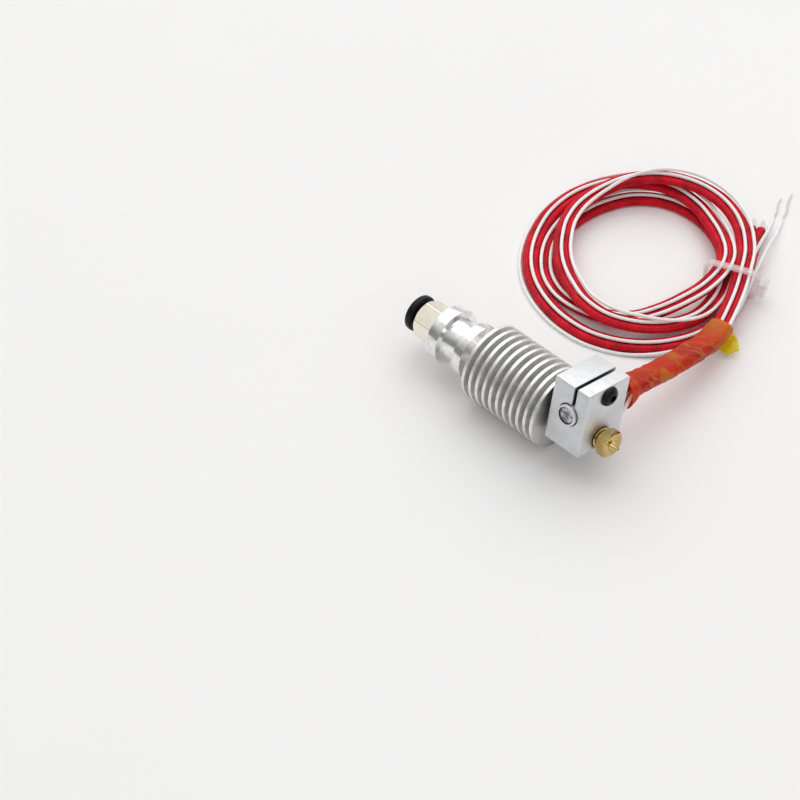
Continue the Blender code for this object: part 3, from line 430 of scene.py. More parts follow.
def lead_sleeve(tree, where):
    """Glossy white insulation, very slightly uneven, with a warm tint where it is handled."""
    waves = cloud(tree, where, 600.0, 3.0, 0.6)
    grime = cloud(tree, where, 160.0, 4.0, 0.65)
    set_surface(tree, Roughness=spread(tree, waves, 0.22, 0.36), Coat_Weight=0.2,
                Base_Color=patchy(tree, grime, (0.95, 0.95, 0.945), (0.88, 0.865, 0.84), 0.45, 0.8),
                Subsurface_Weight=0.15, Subsurface_Scale=0.4 * MM)
    give_bump(tree, waves, 0.05 * MM, 0.6)


def twisted_wire(tree, where):
    around, along = lay_of(tree)
    tarnish = cloud(tree, where, 1500.0, 3.0, 0.6)
    set_surface(tree, Metallic=1.0, Roughness=spread(tree, tarnish, 0.22, 0.45),
                Base_Color=blend_colour(tree, tarnish, (0.82, 0.82, 0.83), (0.62, 0.60, 0.58)))
    give_bump(tree, strand(tree, around, along, 6, 1.1), 0.05 * MM, 0.8)


def amber_film(tree, where):
    """Glossy polyimide film in uneven layers: orange where it is single, red-brown where it laps."""
    around, along = lay_of(tree)
    lap = calc(tree, "FRACT", calc(tree, "MULTIPLY_ADD", along, 2.4, around))
    edge = between(tree, calc(tree, "ABSOLUTE", calc(tree, "SUBTRACT", lap, 0.5)), 0.0, 1.0, 0.47, 0.5)
    drawn = add(tree, "CombineXYZ", {0: weighted(tree, around, 4.0, along, 5.0),
                                     1: weighted(tree, along, 10.0, around, 2.0)}).outputs[0]
    cells = add(tree, "TexVoronoi", {"Vector": drawn, "Scale": 1.0}, feature="DISTANCE_TO_EDGE")
    fold = between(tree, cells.outputs[0], 1.0, 0.0, 0.0, 0.07)
    patches = cloud(tree, where, 230.0, 4.0, 0.65)
    layers = calc(tree, "ADD", between(tree, patches, 0.0, 0.7, 0.38, 0.62),
                  between(tree, lap, 0.0, 0.4, 0.35, 0.6))
    tone = blend_colour(tree, layers, (0.88, 0.060, 0.003), (0.50, 0.012, 0.002))
    golden = times(tree, fold, between(tree, patches, 0.0, 0.8, 0.42, 0.6))
    for other in (times(tree, edge, 0.7), between(tree, along, 0.0, 0.7, 0.80, 0.98),
                  between(tree, cloud(tree, where, 130.0, 2.0), 0.0, 0.6, 0.60, 0.68)):
        golden = calc(tree, "MAXIMUM", golden, other)
    tinted = blend_colour(tree, golden, tone, (0.72, 0.30, 0.015))
    set_surface(tree, Base_Color=tinted, Coat_Weight=0.12, Coat_Roughness=0.1,
                Roughness=spread(tree, patches, 0.22, 0.4), Specular_IOR_Level=0.3)
    height = weighted(tree, fold, 0.6, calc(tree, "ADD", edge, patches))
    give_bump(tree, height, 0.22 * MM, 0.9)
    see_through(tree, between(tree, layers, 0.50, 0.30), (1.0, 0.36, 0.06))


def yellow_film(tree, where):
    patches = cloud(tree, where, 420.0, 4.0, 0.6)
    tone = patchy(tree, patches, (0.95, 0.84, 0.008), (0.85, 0.66, 0.01), 0.35, 0.65)
    set_surface(tree, Base_Color=tone, Roughness=spread(tree, patches, 0.2, 0.4),
                Coat_Weight=0.6, Coat_Roughness=0.1)
    give_bump(tree, patches, 0.25 * MM, 0.7)
    see_through(tree, 0.35, (1.0, 0.85, 0.15))


def clear_nylon(tree, where):
    patches = cloud(tree, where, 500.0, 4.0, 0.6)
    grain = cloud(tree, where, 4200.0, 2.0, 0.6)
    tone = blend_colour(tree, patches, (0.96, 0.94, 0.94), (0.92, 0.88, 0.88))
    set_surface(tree, Base_Color=tone, Roughness=spread(tree, grain, 0.25, 0.42),
                Coat_Weight=0.3)
    give_bump(tree, calc(tree, "ADD", grain, patches), 0.05 * MM, 0.6)
    see_through(tree, 0.66, (1.0, 0.97, 0.97))


def floor_paper(tree, where):
    fibres = cloud(tree, where, 900.0, 4.0, 0.6)
    wide = cloud(tree, where, 9.0, 2.0, 0.5)
    set_surface(tree, Roughness=spread(tree, fibres, 0.5, 0.65),
                Base_Color=blend_colour(tree, wide, (0.93, 0.925, 0.925), (0.90, 0.895, 0.895)))
    give_bump(tree, fibres, 0.01 * MM, 0.3)


def make_looks():
    """One material for each of the record's slots."""
    finishes = (
        (turned_metal, "sink_aluminium", (0.95, 0.95, 0.945), (0.93, 0.92, 0.90), 0.14, 0.007 * MM,
         0.35, True),
        (milled_metal, "block_aluminium", (0.77, 0.78, 0.795), (0.71, 0.72, 0.735), 0.5, 0.035 * MM, 3600.0),
        (turned_metal, "nickel", (0.94, 0.90, 0.78), (0.90, 0.84, 0.71), 0.17, 0.002 * MM, 0.1),
        (moulded_plastic, "black_plastic", (0.004, 0.004, 0.0045), (0.008, 0.008, 0.009), 0.34, 0.02 * MM,
         0.0, 0.22),
        (milled_metal, "spring_steel", (0.55, 0.55, 0.56), (0.45, 0.45, 0.46), 0.35, 0.01 * MM),
        (moulded_plastic, "seal_rubber", (0.02, 0.02, 0.02), (0.035, 0.035, 0.035), 0.6, 0.03 * MM),
        (moulded_plastic, "white_tube", (0.92, 0.92, 0.90), (0.86, 0.86, 0.83), 0.35, 0.01 * MM),
        (turned_metal, "stainless", (0.62, 0.61, 0.60), (0.52, 0.50, 0.48), 0.3, 0.01 * MM),
        (cartridge_steel, "cartridge_steel"),
        (moulded_plastic, "ceramic", (0.85, 0.84, 0.80), (0.76, 0.74, 0.69), 0.6, 0.03 * MM),
        (milled_metal, "black_steel", (0.035, 0.035, 0.038), (0.02, 0.02, 0.022), 0.36, 0.015 * MM),
        (turned_metal, "brass", (0.70, 0.52, 0.22), (0.50, 0.34, 0.12), 0.14, 0.006 * MM, 0.2),
        (turned_metal, "zinc_steel", (0.66, 0.67, 0.68), (0.55, 0.55, 0.55), 0.32, 0.01 * MM, 0.3),
        (moulded_plastic, "glass_bead", (0.55, 0.30, 0.12), (0.45, 0.22, 0.08), 0.15, 0.01 * MM, 0.5),
        (braid, "red_braid"),
        (lead_sleeve, "white_sleeve"),
        (twisted_wire, "tinned_wire"),
        (amber_film, "amber_tape"),
        (yellow_film, "yellow_tape"),
        (clear_nylon, "clear_nylon"),
    )
    return {name: new_look(name, make, *values) for make, name, *values in finishes}


LOOKS = make_looks()


# ---- mesh helpers

def new_object(name, data):
    thing = bpy.data.objects.new(name, data)
    bpy.context.scene.collection.objects.link(thing)
    return thing


def new_piece(name, mesh, slot, place=None, body="hotend", replaces=None):
    """Links a finished mesh into the scene on a body, in one of the record's finishes."""
    piece = new_object(name, mesh)
    piece.matrix_world = place or Matrix.Identity(4)
    mesh.materials.append(LOOKS[slot])
    mesh.shade_smooth()
    mesh.set_sharp_from_angle(angle=SMOOTH_ANGLE)
    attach(piece, body)
    if replaces:
        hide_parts(replaces)
    return piece


def softened(profile, size, closed=False):
    """Profile whose real corners are cut by short round edges."""
    count = len(profile)
    eased = []
    for i, corner in enumerate(profile):
        point = Vector(corner)
        if not closed and i in (0, count - 1):
            eased.append(point)
            continue
        before = Vector(profile[i - 1]) - point
        after = Vector(profile[(i + 1) % count]) - point
        if before.length < 1e-7 or after.length < 1e-7 or math.degrees(before.angle(after)) > 160:
            eased.append(point)
            continue
        reach = min(size, before.length * 0.4, after.length * 0.4)
        start = point + before.normalized() * reach
        end = point + after.normalized() * reach
        for t in (0.0, 1 / 3, 2 / 3, 1.0):
            eased.append(start * (1 - t) ** 2 + point * 2 * t * (1 - t) + end * t * t)
    return eased


def turned_mesh(name, outer, bore=None, soft=SOFT_EDGE, steps=ROUND_STEPS):
    """Closed turned solid about local Z. Both profiles are (along, radius) pairs from low Z to high Z."""
    if bore:
        loop = softened(list(outer) + list(reversed(bore)), soft, closed=True)
    else:
        loop = softened([(outer[0][0], 0.0)] + list(outer) + [(outer[-1][0], 0.0)], soft)
    shape = bmesh.new()
    rows = []
    for along, radius in loop:
        if radius < 1e-7:
            rows.append([shape.verts.new((0.0, 0.0, along))])
            continue
        row = []
        for k in range(steps):
            a = 2 * math.pi * k / steps
            row.append(shape.verts.new((radius * math.cos(a), radius * math.sin(a), along)))
        rows.append(row)
    pairs = list(zip(rows, rows[1:]))
    if bore:
        pairs.append((rows[-1], rows[0]))
    for near, far in pairs:
        for k in range(steps):
            after = (k + 1) % steps
            ring = [near[k % len(near)], near[after % len(near)], far[after % len(far)], far[k % len(far)]]
            corners = [v for i, v in enumerate(ring) if v is not ring[i - 1]]
            if len(corners) > 2:
                shape.faces.new(corners)
    return finished_mesh(name, shape)


def finished_mesh(name, shape):
    bmesh.ops.remove_doubles(shape, verts=shape.verts, dist=1e-7)
    bmesh.ops.recalc_face_normals(shape, faces=shape.faces)
    mesh = bpy.data.meshes.new(name)
    shape.to_mesh(mesh)
    shape.free()
    return mesh


def soften_edges(shape, size):
    if size:
        bmesh.ops.bevel(shape, geom=shape.edges[:], offset=size, segments=3, profile=0.5, affect="EDGES")


def prism_mesh(name, sides, across_flats, low, high, soft=0.0, turn=0.0):
    shape = bmesh.new()
    radius = across_flats / 2 / math.cos(math.pi / sides)
    middle = Matrix.Translation((0, 0, (low + high) / 2)) @ Matrix.Rotation(turn, 4, "Z")
    bmesh.ops.create_cone(shape, cap_ends=True, segments=sides, radius1=radius, radius2=radius,
                          depth=high - low, matrix=middle)
    soften_edges(shape, soft)
    return finished_mesh(name, shape)


def box_mesh(name, size, middle, soft=0.0):
    shape = bmesh.new()
    bmesh.ops.create_cube(shape, size=1.0, matrix=Matrix.Translation(middle) @ Matrix.Diagonal((*size, 1.0)))
    soften_edges(shape, soft)
    return finished_mesh(name, shape)


def carved(name, base, tools):
    """Mesh made from a base and (operation, mesh, place) tools, by exact booleans."""
    block = new_object(name, base)
    cutters = []
    for operation, mesh, place in tools:
        cutter = new_object(mesh.name, mesh)
        cutter.matrix_world = place or Matrix.Identity(4)
        modifier = block.modifiers.new(mesh.name, "BOOLEAN")
        modifier.operation = operation
        modifier.solver = "EXACT"
        modifier.object = cutter
        cutters.append(cutter)
    bpy.context.view_layer.update()
    result = bpy.data.meshes.new_from_object(block.evaluated_get(bpy.context.evaluated_depsgraph_get()))
    for thing in cutters + [block]:
        bpy.data.objects.remove(thing)
    return result


# ---- heat sink, coupling and collet

def make_sink():
    outer = [
        (0.0, FLANGE_RADIUS), (UPPER_FLANGE_END, FLANGE_RADIUS),
        (UPPER_FLANGE_END, GROOVE_RADIUS), (GROOVE_END, GROOVE_RADIUS),
        (GROOVE_END, FLANGE_RADIUS), (LOWER_FLANGE_END, FLANGE_RADIUS),
        (LOWER_FLANGE_END, FIN_CORE_RADIUS),
    ]
    for i in range(FIN_COUNT):
        start = FIRST_FIN + i * FIN_PITCH
        end = start + FIN_THICKNESS
        outer += [(start, FIN_CORE_RADIUS), (start, FIN_RADIUS), (end, FIN_RADIUS)]
        if i < FIN_COUNT - 1:
            outer.append((end, FIN_CORE_RADIUS))
    bore = [(0.0, SINK_BORE), (SINK_BORE_FLOOR, SINK_BORE), (SINK_BORE_FLOOR, TUBE_WAY),
            (BREAK_TOP, TUBE_WAY), (BREAK_TOP, BREAK_BORE), (SINK_END, BREAK_BORE)]
    mesh = turned_mesh("sink_turned", outer, bore, soft=0.13 * MM)
    new_piece("sink_turned", mesh, "sink_aluminium", AXIS, replaces="heat_sink")


def hex_barrel_mesh(name, flats, low, high, chamfer, soft=0.16 * MM, turn=0.0):
    corner = flats / 2 / math.cos(math.pi / 6) + 0.05 * MM
    rim = flats / 2 * 0.985
    barrel = turned_mesh(name, [(low, rim), (low + chamfer, corner), (high - chamfer, corner), (high, rim)],
                         soft=0.1 * MM)
    hexagon = prism_mesh(name + "_hex", 6, flats, low - MM, high + MM, soft=soft, turn=turn)
    return carved(name, barrel, [("INTERSECT", hexagon, None)])


def make_coupling():
    hexagon = hex_barrel_mesh("coupling_hex", HEX_FLATS, -HEX_LENGTH, -0.1 * MM, HEX_CHAMFER, turn=HEX_TURN)
    shank = turned_mesh("shank", [(-2.0 * MM, SHANK_RADIUS), (8.0 * MM, SHANK_RADIUS)])
    cavity = turned_mesh("cavity", [(-HEX_LENGTH - MM, CAVITY_RADIUS), (-0.6 * MM, CAVITY_RADIUS)])
    way = turned_mesh("way", [(-2.0 * MM, TUBE_WAY), (9.0 * MM, TUBE_WAY)])
    mesh = carved("coupling_shell", hexagon, [("UNION", shank, None), ("DIFFERENCE", cavity, None),
                                              ("DIFFERENCE", way, None)])
    new_piece("coupling_shell", mesh, "nickel", AXIS, "coupling", "coupling_body")
    retainer = turned_mesh("retainer_ring", [(-8.3 * MM, 4.1 * MM), (-4.1 * MM, 4.1 * MM)],
                           [(-8.3 * MM, 3.45 * MM), (-4.1 * MM, 3.45 * MM)], soft=0.2 * MM)
    new_piece("retainer_ring", retainer, "nickel", AXIS, "coupling", "collet_retainer")


def make_collet():
    """Pressed ring with a rounded rim, and its plain sleeve below."""
    outer = [(COLLET_TOP, COLLET_RADIUS), (COLLET_UNDERSIDE, COLLET_RADIUS),
             (COLLET_UNDERSIDE, SLEEVE_RADIUS), (SLEEVE_END, SLEEVE_RADIUS)]
    bore = [(COLLET_TOP, COLLET_BORE + 0.5 * MM), (COLLET_TOP + 0.6 * MM, COLLET_BORE),
            (SLEEVE_END, COLLET_BORE)]
    mesh = turned_mesh("collet_ring", outer, bore, soft=0.8 * MM)
    new_piece("collet_ring", mesh, "black_plastic", AXIS, "collet", "release_collet")


# ---- nozzle

def thread_profile(low, high, radius, depth, pitch):
    profile = [(low, radius - depth)]
    ridges = int((high - low) / pitch)
    for i in range(ridges):
        start = high - (ridges - i) * pitch
        profile += [(start + pitch * 0.15, radius - depth), (start + pitch * 0.5, radius),
                    (start + pitch * 0.62, radius), (start + pitch * 0.97, radius - depth)]
    return profile


def make_nozzle():
    hexagon = hex_barrel_mesh("nozzle_hex", 7.0 * MM, NOZZLE_HEX_START, NOZZLE_HEX_END, 0.45 * MM,
                              turn=NOZZLE_HEX_TURN)
    ridges = thread_profile(NOZZLE_START, NOZZLE_RELIEF_START, M6_RADIUS, 0.35 * MM, 1.0 * MM)
    relief = [(start, NOZZLE_RELIEF_RADIUS) for start in (NOZZLE_RELIEF_START, NOZZLE_HEX_START + 0.2 * MM)]
    thread = turned_mesh("thread", ridges + relief, soft=0.05 * MM, steps=96)
    foot = [(start, NOZZLE_CONE_RADIUS) for start in (NOZZLE_HEX_END - 0.2 * MM, NOZZLE_HEX_END)]
    cone = turned_mesh("cone", foot + [(NOZZLE_TIP, 0.5 * MM)], soft=0.12 * MM, steps=96)
    melt_end = NOZZLE_HEX_END + 0.4 * MM
    way = turned_mesh("melt_way", [(NOZZLE_START - MM, 1.0 * MM), (melt_end, 1.0 * MM),
                                   (melt_end + 0.9 * MM, 0.2 * MM), (NOZZLE_TIP + MM, 0.2 * MM)],
                      soft=0.05 * MM, steps=48)
    mesh = carved("nozzle_turned", hexagon, [("UNION", thread, None), ("UNION", cone, None),
                                             ("DIFFERENCE", way, None)])
    new_piece("nozzle_turned", mesh, "brass", AXIS, "nozzle", "nozzle")


# ---- heater block and its hardware

def rod(name, radius, low, high, steps=72):
    return turned_mesh(name, [(low, radius), (high, radius)], soft=0.02 * MM, steps=steps)


def countersink(name, radius, face, width):
    """Cone cutter that breaks the edge of a hole whose mouth is at a height on local Z."""
    out = 1 if face > 0 else -1
    ends = sorted([(face - out * width, radius), (face + out * width, radius + 2 * width)])
    return turned_mesh(name, ends, soft=0.01 * MM, steps=72)


def crosswise(height, along, width=0.0):
    """Place on the block for a piece or a cutter that runs across its width."""
    return Matrix.Translation((height, width, along)) @ ACROSS


def make_block():
    middle = (BLOCK_TOP - BLOCK_HEIGHT / 2, 0.0, BLOCK_START + BLOCK_LENGTH / 2)
    base = box_mesh("block", (BLOCK_HEIGHT, BLOCK_WIDTH, BLOCK_LENGTH), middle, soft=0.4 * MM)
    side = BLOCK_WIDTH / 2
    at_cartridge = crosswise(CARTRIDGE_HEIGHT, CARTRIDGE_ALONG)
    at_thermistor = crosswise(THERMISTOR_HEIGHT, THERMISTOR_ALONG)
    at_retainer = crosswise(RETAINING_HEIGHT, RETAINING_ALONG)
    at_screw = Matrix.Translation((SCREW_HEIGHT, 0, 0))
    slit_height = BLOCK_TOP - CARTRIDGE_HEIGHT
    slit_middle = CARTRIDGE_HEIGHT + slit_height / 2 + 0.5 * MM
    slit = box_mesh("slit", (slit_height, BLOCK_WIDTH + 2 * MM, SLIT_WIDTH), (slit_middle, 0, SLIT_ALONG))
    bore = CARTRIDGE_RADIUS + 0.15 * MM
    cuts = [
        (rod("centre_bore", M6_BORE, BLOCK_START - MM, BLOCK_END + MM), None),
        (rod("cartridge_bore", bore, -side - MM, side + MM), at_cartridge),
        (countersink("cartridge_mouth", bore, -side, 0.2 * MM), at_cartridge),
        (slit, None),
        (rod("screw_bore", SCREW_BORE, BLOCK_START - MM, BLOCK_END + MM), at_screw),
        (rod("thermistor_hole", 1.3 * MM, side - 3.6 * MM, side + MM), at_thermistor),
        (rod("retaining_hole", SCREW_BORE, side - 3.8 * MM, side + MM), at_retainer),
    ]
    mesh = carved("block_milled", base, [("DIFFERENCE", mesh, place) for mesh, place in cuts])
    new_piece("block_milled", mesh, "block_aluminium", BLOCK, replaces="heater_block")


def make_cartridge():
    start = -BLOCK_WIDTH / 2 - CARTRIDGE_PROUD
    end = start + CARTRIDGE_LENGTH
    outer = [(start + 0.35 * MM, 2.25 * MM), (start, 2.4 * MM), (start, 2.75 * MM),
             (start + 0.25 * MM, CARTRIDGE_RADIUS), (end, CARTRIDGE_RADIUS), (end, 2.45 * MM),
             (end - 2.0 * MM, 2.45 * MM)]
    mesh = turned_mesh("cartridge_sheath", outer, soft=0.12 * MM)
    place = BLOCK @ crosswise(CARTRIDGE_HEIGHT, CARTRIDGE_ALONG)
    new_piece("cartridge_sheath", mesh, "cartridge_steel", place, replaces="heater_cartridge")
    plug = turned_mesh("cartridge_cap", [(end - 1.9 * MM, 2.3 * MM), (end + 0.2 * MM, 2.3 * MM)],
                       soft=0.25 * MM)
    new_piece("cartridge_cap", plug, "ceramic", place, replaces="cartridge_plug")


def button_screw_mesh(name, reach):
    head = []
    for degrees in (10, 25, 40, 55, 70, 90):
        a = math.radians(degrees)
        head.append((SCREW_HEAD_HEIGHT * math.sin(a), SCREW_HEAD_RADIUS * (0.75 * math.cos(a) + 0.25)))
    outer = [(-reach, SCREW_RADIUS), (0.0, SCREW_RADIUS), (0.0, SCREW_HEAD_RADIUS)] + head
    screw = turned_mesh(name, outer, soft=0.1 * MM)
    socket = prism_mesh(name + "_socket", 6, 2.0 * MM, SCREW_HEAD_HEIGHT - 1.0 * MM, SCREW_HEAD_HEIGHT + MM)
    return carved(name, screw, [("DIFFERENCE", socket, None)])


def make_fasteners():
    place = BLOCK @ Matrix.Translation((SCREW_HEIGHT, 0, BLOCK_END + 0.1 * MM))
    new_piece("clamp_button_screw", button_screw_mesh("clamp_button_screw", 9.5 * MM), "black_steel", place,
              "clamp_screw", "clamp_screw")
    side = BLOCK_WIDTH / 2
    washer = turned_mesh("lead_washer", [(side + 0.1 * MM, 3.0 * MM), (side + 0.6 * MM, 3.0 * MM)],
                         [(side + 0.1 * MM, SCREW_BORE), (side + 0.6 * MM, SCREW_BORE)], soft=0.12 * MM)
    new_piece("lead_washer", washer, "zinc_steel", BLOCK @ crosswise(RETAINING_HEIGHT, RETAINING_ALONG),
              replaces="thermistor_washer")
    head = BLOCK @ crosswise(RETAINING_HEIGHT, RETAINING_ALONG, -side - 0.7 * MM)
    new_piece("lead_button_screw", button_screw_mesh("lead_button_screw", 4.0 * MM), "zinc_steel", head,
              "thermistor_screw", "thermistor_screw")


# ---- paths of the leads

def smooth_step(t):
    t = min(max(t, 0.0), 1.0)
    return t * t * (3 - 2 * t)


def cubic(start, start_pull, end, end_pull, count):
    """Points along a cubic curve; the pulls are the handle vectors at its ends."""
    points = []
    for i in range(count):
        t = i / (count - 1)
        k = 1 - t
        points.append(start * k ** 3 + (start + start_pull) * 3 * k * k * t
                      + (end - end_pull) * 3 * k * t * t + end * t ** 3)
    return points


def between_knots(values, turn):
    """Smooth curve through values that are spaced evenly round the coil."""
    place_on = min(max(turn * KNOTS_PER_TURN, 0.0), len(values) - 1.0)
    i = min(int(place_on), len(values) - 2)
    t = place_on - i
    start, end = values[i], values[i + 1]
    rise_in = (end - values[max(i - 1, 0)]) / 2
    rise_out = (values[min(i + 2, len(values) - 1)] - start) / 2
    return (start * (1 + 2 * t) * (1 - t) ** 2 + end * (3 - 2 * t) * t * t
            + rise_in * t * (1 - t) ** 2 - rise_out * (1 - t) * t * t)


def coil_lane(turn):
    """Radius and height of the bundle, a number of turns after it joins the coil."""
    away = max(-turn / RUN_IN_TURN, 0.0) ** 2
    radius = between_knots(LANE_RADII, turn) * MM + RUN_IN_LANE * away
    height = LOWER_LAYER + max(between_knots(LANE_LAYERS, turn), 0.0) * LAYER_RISE + RUN_IN_RISE * away
    past_tie = turn - TIE_TURN
    from_tie = (past_tie - round(past_tie)) * 360.0
    return radius, height + TIE_LIFT * math.exp(-(from_tie / 22.0) ** 2)


def coil_point(turn):
    radius, height = coil_lane(turn)
    heading = START_HEADING + 2 * math.pi * turn
    return COIL_CENTRE + Vector((math.cos(heading) * radius, math.sin(heading) * radius, height))


def coil_travel(turn):
    step = 0.002
    return (coil_point(turn + step) - coil_point(turn - step)).normalized()


def block_to_table(height, width, along):
    """Point given in the block's rolled frame, as a point in the table frame."""
    up = height * math.cos(BLOCK_ROLL) + width * math.sin(BLOCK_ROLL)
    sideways = height * math.sin(BLOCK_ROLL) - width * math.cos(BLOCK_ROLL)
    return Vector((along, sideways, FIN_RADIUS + up))


def bundle_line():
    """Centre line of the bundle: block to coil, then the turns at which it goes round the coil."""
    far_end = BLOCK_WIDTH / 2 - CARTRIDGE_PROUD + CARTRIDGE_LENGTH - BLOCK_WIDTH + 0.5 * MM
    start = block_to_table(CARTRIDGE_HEIGHT, -far_end, CARTRIDGE_ALONG)
    outward = Vector((0, math.cos(BLOCK_ROLL), -math.sin(BLOCK_ROLL)))
    meet = coil_point(-RUN_IN_TURN)
    arrive = coil_travel(-RUN_IN_TURN + 0.003)
    run_out = cubic(start, outward * 9 * MM, meet, arrive * 14 * MM, 11)
    count = round((COIL_TURNS + RUN_IN_TURN) * POINTS_PER_TURN)
    step = (COIL_TURNS + RUN_IN_TURN) / count
    turns = [step * i - RUN_IN_TURN for i in range(1, count)]
    return run_out, turns


def tail_line(length, swing):
    leave = coil_travel(COIL_TURNS)
    start = coil_point(COIL_TURNS)
    flat = Vector((leave.x, leave.y, 0.0)).normalized()
    outward = Vector((flat.y, -flat.x, 0.0))
    end = start + flat * length + outward * swing
    end.z = LOWER_LAYER
    return cubic(start, flat * length / 3, end, flat * length / 3, 6)


def travel_at(line, i):
    return line[min(i + 1, len(line) - 1)] - line[max(i - 1, 0)]


def sideways_at(line, i):
    ahead = travel_at(line, i)
    return Vector((ahead.y, -ahead.x, 0.0)).normalized()


def beside(line, offsets):
    moved = []
    for i, (point, (right, up)) in enumerate(zip(line, offsets)):
        moved.append(point + sideways_at(line, i) * right + Vector((0, 0, up)))
    return moved


def against_lead_b(angle):
    return (LEAD_SPACING / 2 + LEAD_CONTACT * math.cos(angle), LEAD_CONTACT * math.sin(angle))


def shoulder_offset(turn):
    lowered = smooth_step((turn - 2.2) / 0.2) - smooth_step((turn - 2.76) / 0.14)
    right, up = against_lead_b(OUTER_SHOULDER + (OUTER_SIDE - OUTER_SHOULDER) * lowered)
    share = smooth_step((turn - 0.1) / 0.3) - smooth_step((turn - 0.68) / 0.26)
    swing = math.pi * share
    return right * math.cos(swing), up + SHOULDER_CLIMB * math.sin(swing)


def thermistor_offsets(index, run_count, turns):
    first, last = THERMISTOR_ANGLES[index]
    angles = [first + (last - first) * smooth_step(i / (run_count - 1)) for i in range(run_count)]
    offsets = [against_lead_b(angle) for angle in angles]
    for turn in turns:
        offsets.append(shoulder_offset(turn) if index else against_lead_b(UPPER_VALLEY))
    return offsets


def thermistor_start(index):
    side = BLOCK_WIDTH / 2
    shift = (0.6 - 1.2 * index) * MM
    along = THERMISTOR_ALONG + shift
    height = THERMISTOR_HEIGHT
    return [
        block_to_table(height, -side + 0.4 * MM, along),
        block_to_table(height + 0.1 * MM, -side - 0.6 * MM, along),
        block_to_table(height + 0.6 * MM, -side - 1.5 * MM, along + shift / 6),
        block_to_table(height + 1.9 * MM, -side - 2.9 * MM, along + shift / 4),
    ]


def settle_tail(line):
    settled = list(line)
    for i, share in ((-2, 0.55), (-1, 1.0)):
        sink = (THERMISTOR_LEAD_RADIUS - settled[i].z) * share
        settled[i] = settled[i] + Vector((0, 0, sink))
    return settled


def flowing(points, per_step):
    """Curve that passes through every point, with more points between them."""
    line = []
    for i in range(len(points) - 1):
        a, b = points[max(i - 1, 0)], points[i]
        c, d = points[i + 1], points[min(i + 2, len(points) - 1)]
        for k in range(per_step):
            t = k / per_step
            line.append(0.5 * (2 * b + (c - a) * t + (2 * a - 5 * b + 4 * c - d) * t * t
                               + (3 * b - a - 3 * c + d) * t ** 3))
    return line + [points[-1]]


# ---- leads

def skin_rings(shape, rings, distances):
    """Faces between rings of points, mapped by turns round and by each ring's distance along."""
    layer = shape.loops.layers.uv.new("lay")
    rows = [[shape.verts.new(point) for point in ring] for ring in rings]
    for i, (near, far) in enumerate(zip(rows, rows[1:])):
        sides = len(near)
        for k in range(sides):
            after = (k + 1) % sides
            face = shape.faces.new((near[k], near[after], far[after], far[k]))
            for loop, lap, along in zip(face.loops, (k, k + 1, k + 1, k), (i, i, i + 1, i + 1)):
                loop[layer].uv = (lap / sides, distances[along])
    return rows


def tube_mesh(name, line, radius, sides, unevenness=0.0, end_flare=0.0):
    """Closed tube along a line, mapped by turns round it and by millimetres along it."""
    side = Vector((0, 0, 1))
    rings = []
    lengths = []
    travelled = 0.0
    for i, point in enumerate(line):
        if i:
            travelled += (point - line[i - 1]).length
        ahead = travel_at(line, i).normalized()
        side = (side - ahead * side.dot(ahead)).normalized()
        over = ahead.cross(side)
        size = radius * (1 + unevenness * noise.noise(point * 900.0))
        size *= 1 + end_flare * smooth_step((i - len(line) + 7) / 6)
        ring = []
        for k in range(sides):
            a = 2 * math.pi * k / sides
            ring.append(point + side * size * math.cos(a) + over * size * math.sin(a))
        rings.append(ring)
        lengths.append(travelled / MM)
    shape = bmesh.new()
    rows = skin_rings(shape, rings, lengths)
    shape.faces.new(rows[0][::-1])
    shape.faces.new(rows[-1])
    return finished_mesh(name, shape)


def make_leads():
    """Two braided heater leads and two thin white ones, each with its stripped end."""
    run_out, turns = bundle_line()
    coil = [coil_point(turn) for turn in turns]
    for letter, side in (("a", -1), ("b", 1)):
        line = run_out + coil + tail_line(HEATER_TAIL, -1.0 * MM)
        lead = beside(line, [(side * LEAD_SPACING / 2, 0.0)] * len(line))
        rings = flowing(lead, LEAD_RINGS_PER_STEP)
        mesh = tube_mesh("braided_lead_" + letter, rings, HEATER_LEAD_RADIUS, 24,
                         unevenness=0.05, end_flare=0.12)
        new_piece("braided_lead_" + letter, mesh, "red_braid", TABLE, replaces="heater_lead_" + letter)
        make_tip("braided_lead_tip_" + letter, "heater_lead_" + letter + "_tip", lead, 0.45 * MM, 4.0 * MM)
    for index, letter in enumerate("ab"):
        line = run_out + coil + tail_line(THERMISTOR_TAIL, 2.5 * MM)
        offsets = thermistor_offsets(index, len(run_out), turns + [COIL_TURNS] * 6)
        lead = settle_tail(beside(line, offsets))
        lead = thermistor_start(index) + lead[1:]
        rings = flowing(lead, LEAD_RINGS_PER_STEP)
        mesh = tube_mesh("white_lead_" + letter, rings, THERMISTOR_LEAD_RADIUS, 16, unevenness=0.03)
        new_piece("white_lead_" + letter, mesh, "white_sleeve", TABLE,
                  replaces="thermistor_lead_" + letter)
        make_tip("white_lead_tip_" + letter, "thermistor_lead_" + letter + "_tip", lead, 0.2 * MM,
                 (9.0 + 3.0 * index) * MM)


def make_tip(name, node, line, radius, length):
    """Stripped conductor, very slightly bent, that stands out of a lead's free end."""
    along = line[-1] - line[-2]
    along.z = 0.0
    along.normalize()
    start = line[-1] + along * 0.02 * MM
    aside = Vector((along.y, -along.x, 0.0)) * length * 0.03
    points = [start, start + along * length * 0.35 + aside, start + along * length * 0.7 - aside * 0.5,
              start + along * length]
    mesh = tube_mesh(name, flowing(points, 8), radius, 16)
    new_piece(name, mesh, "tinned_wire", TABLE, replaces=node)


# ---- tape

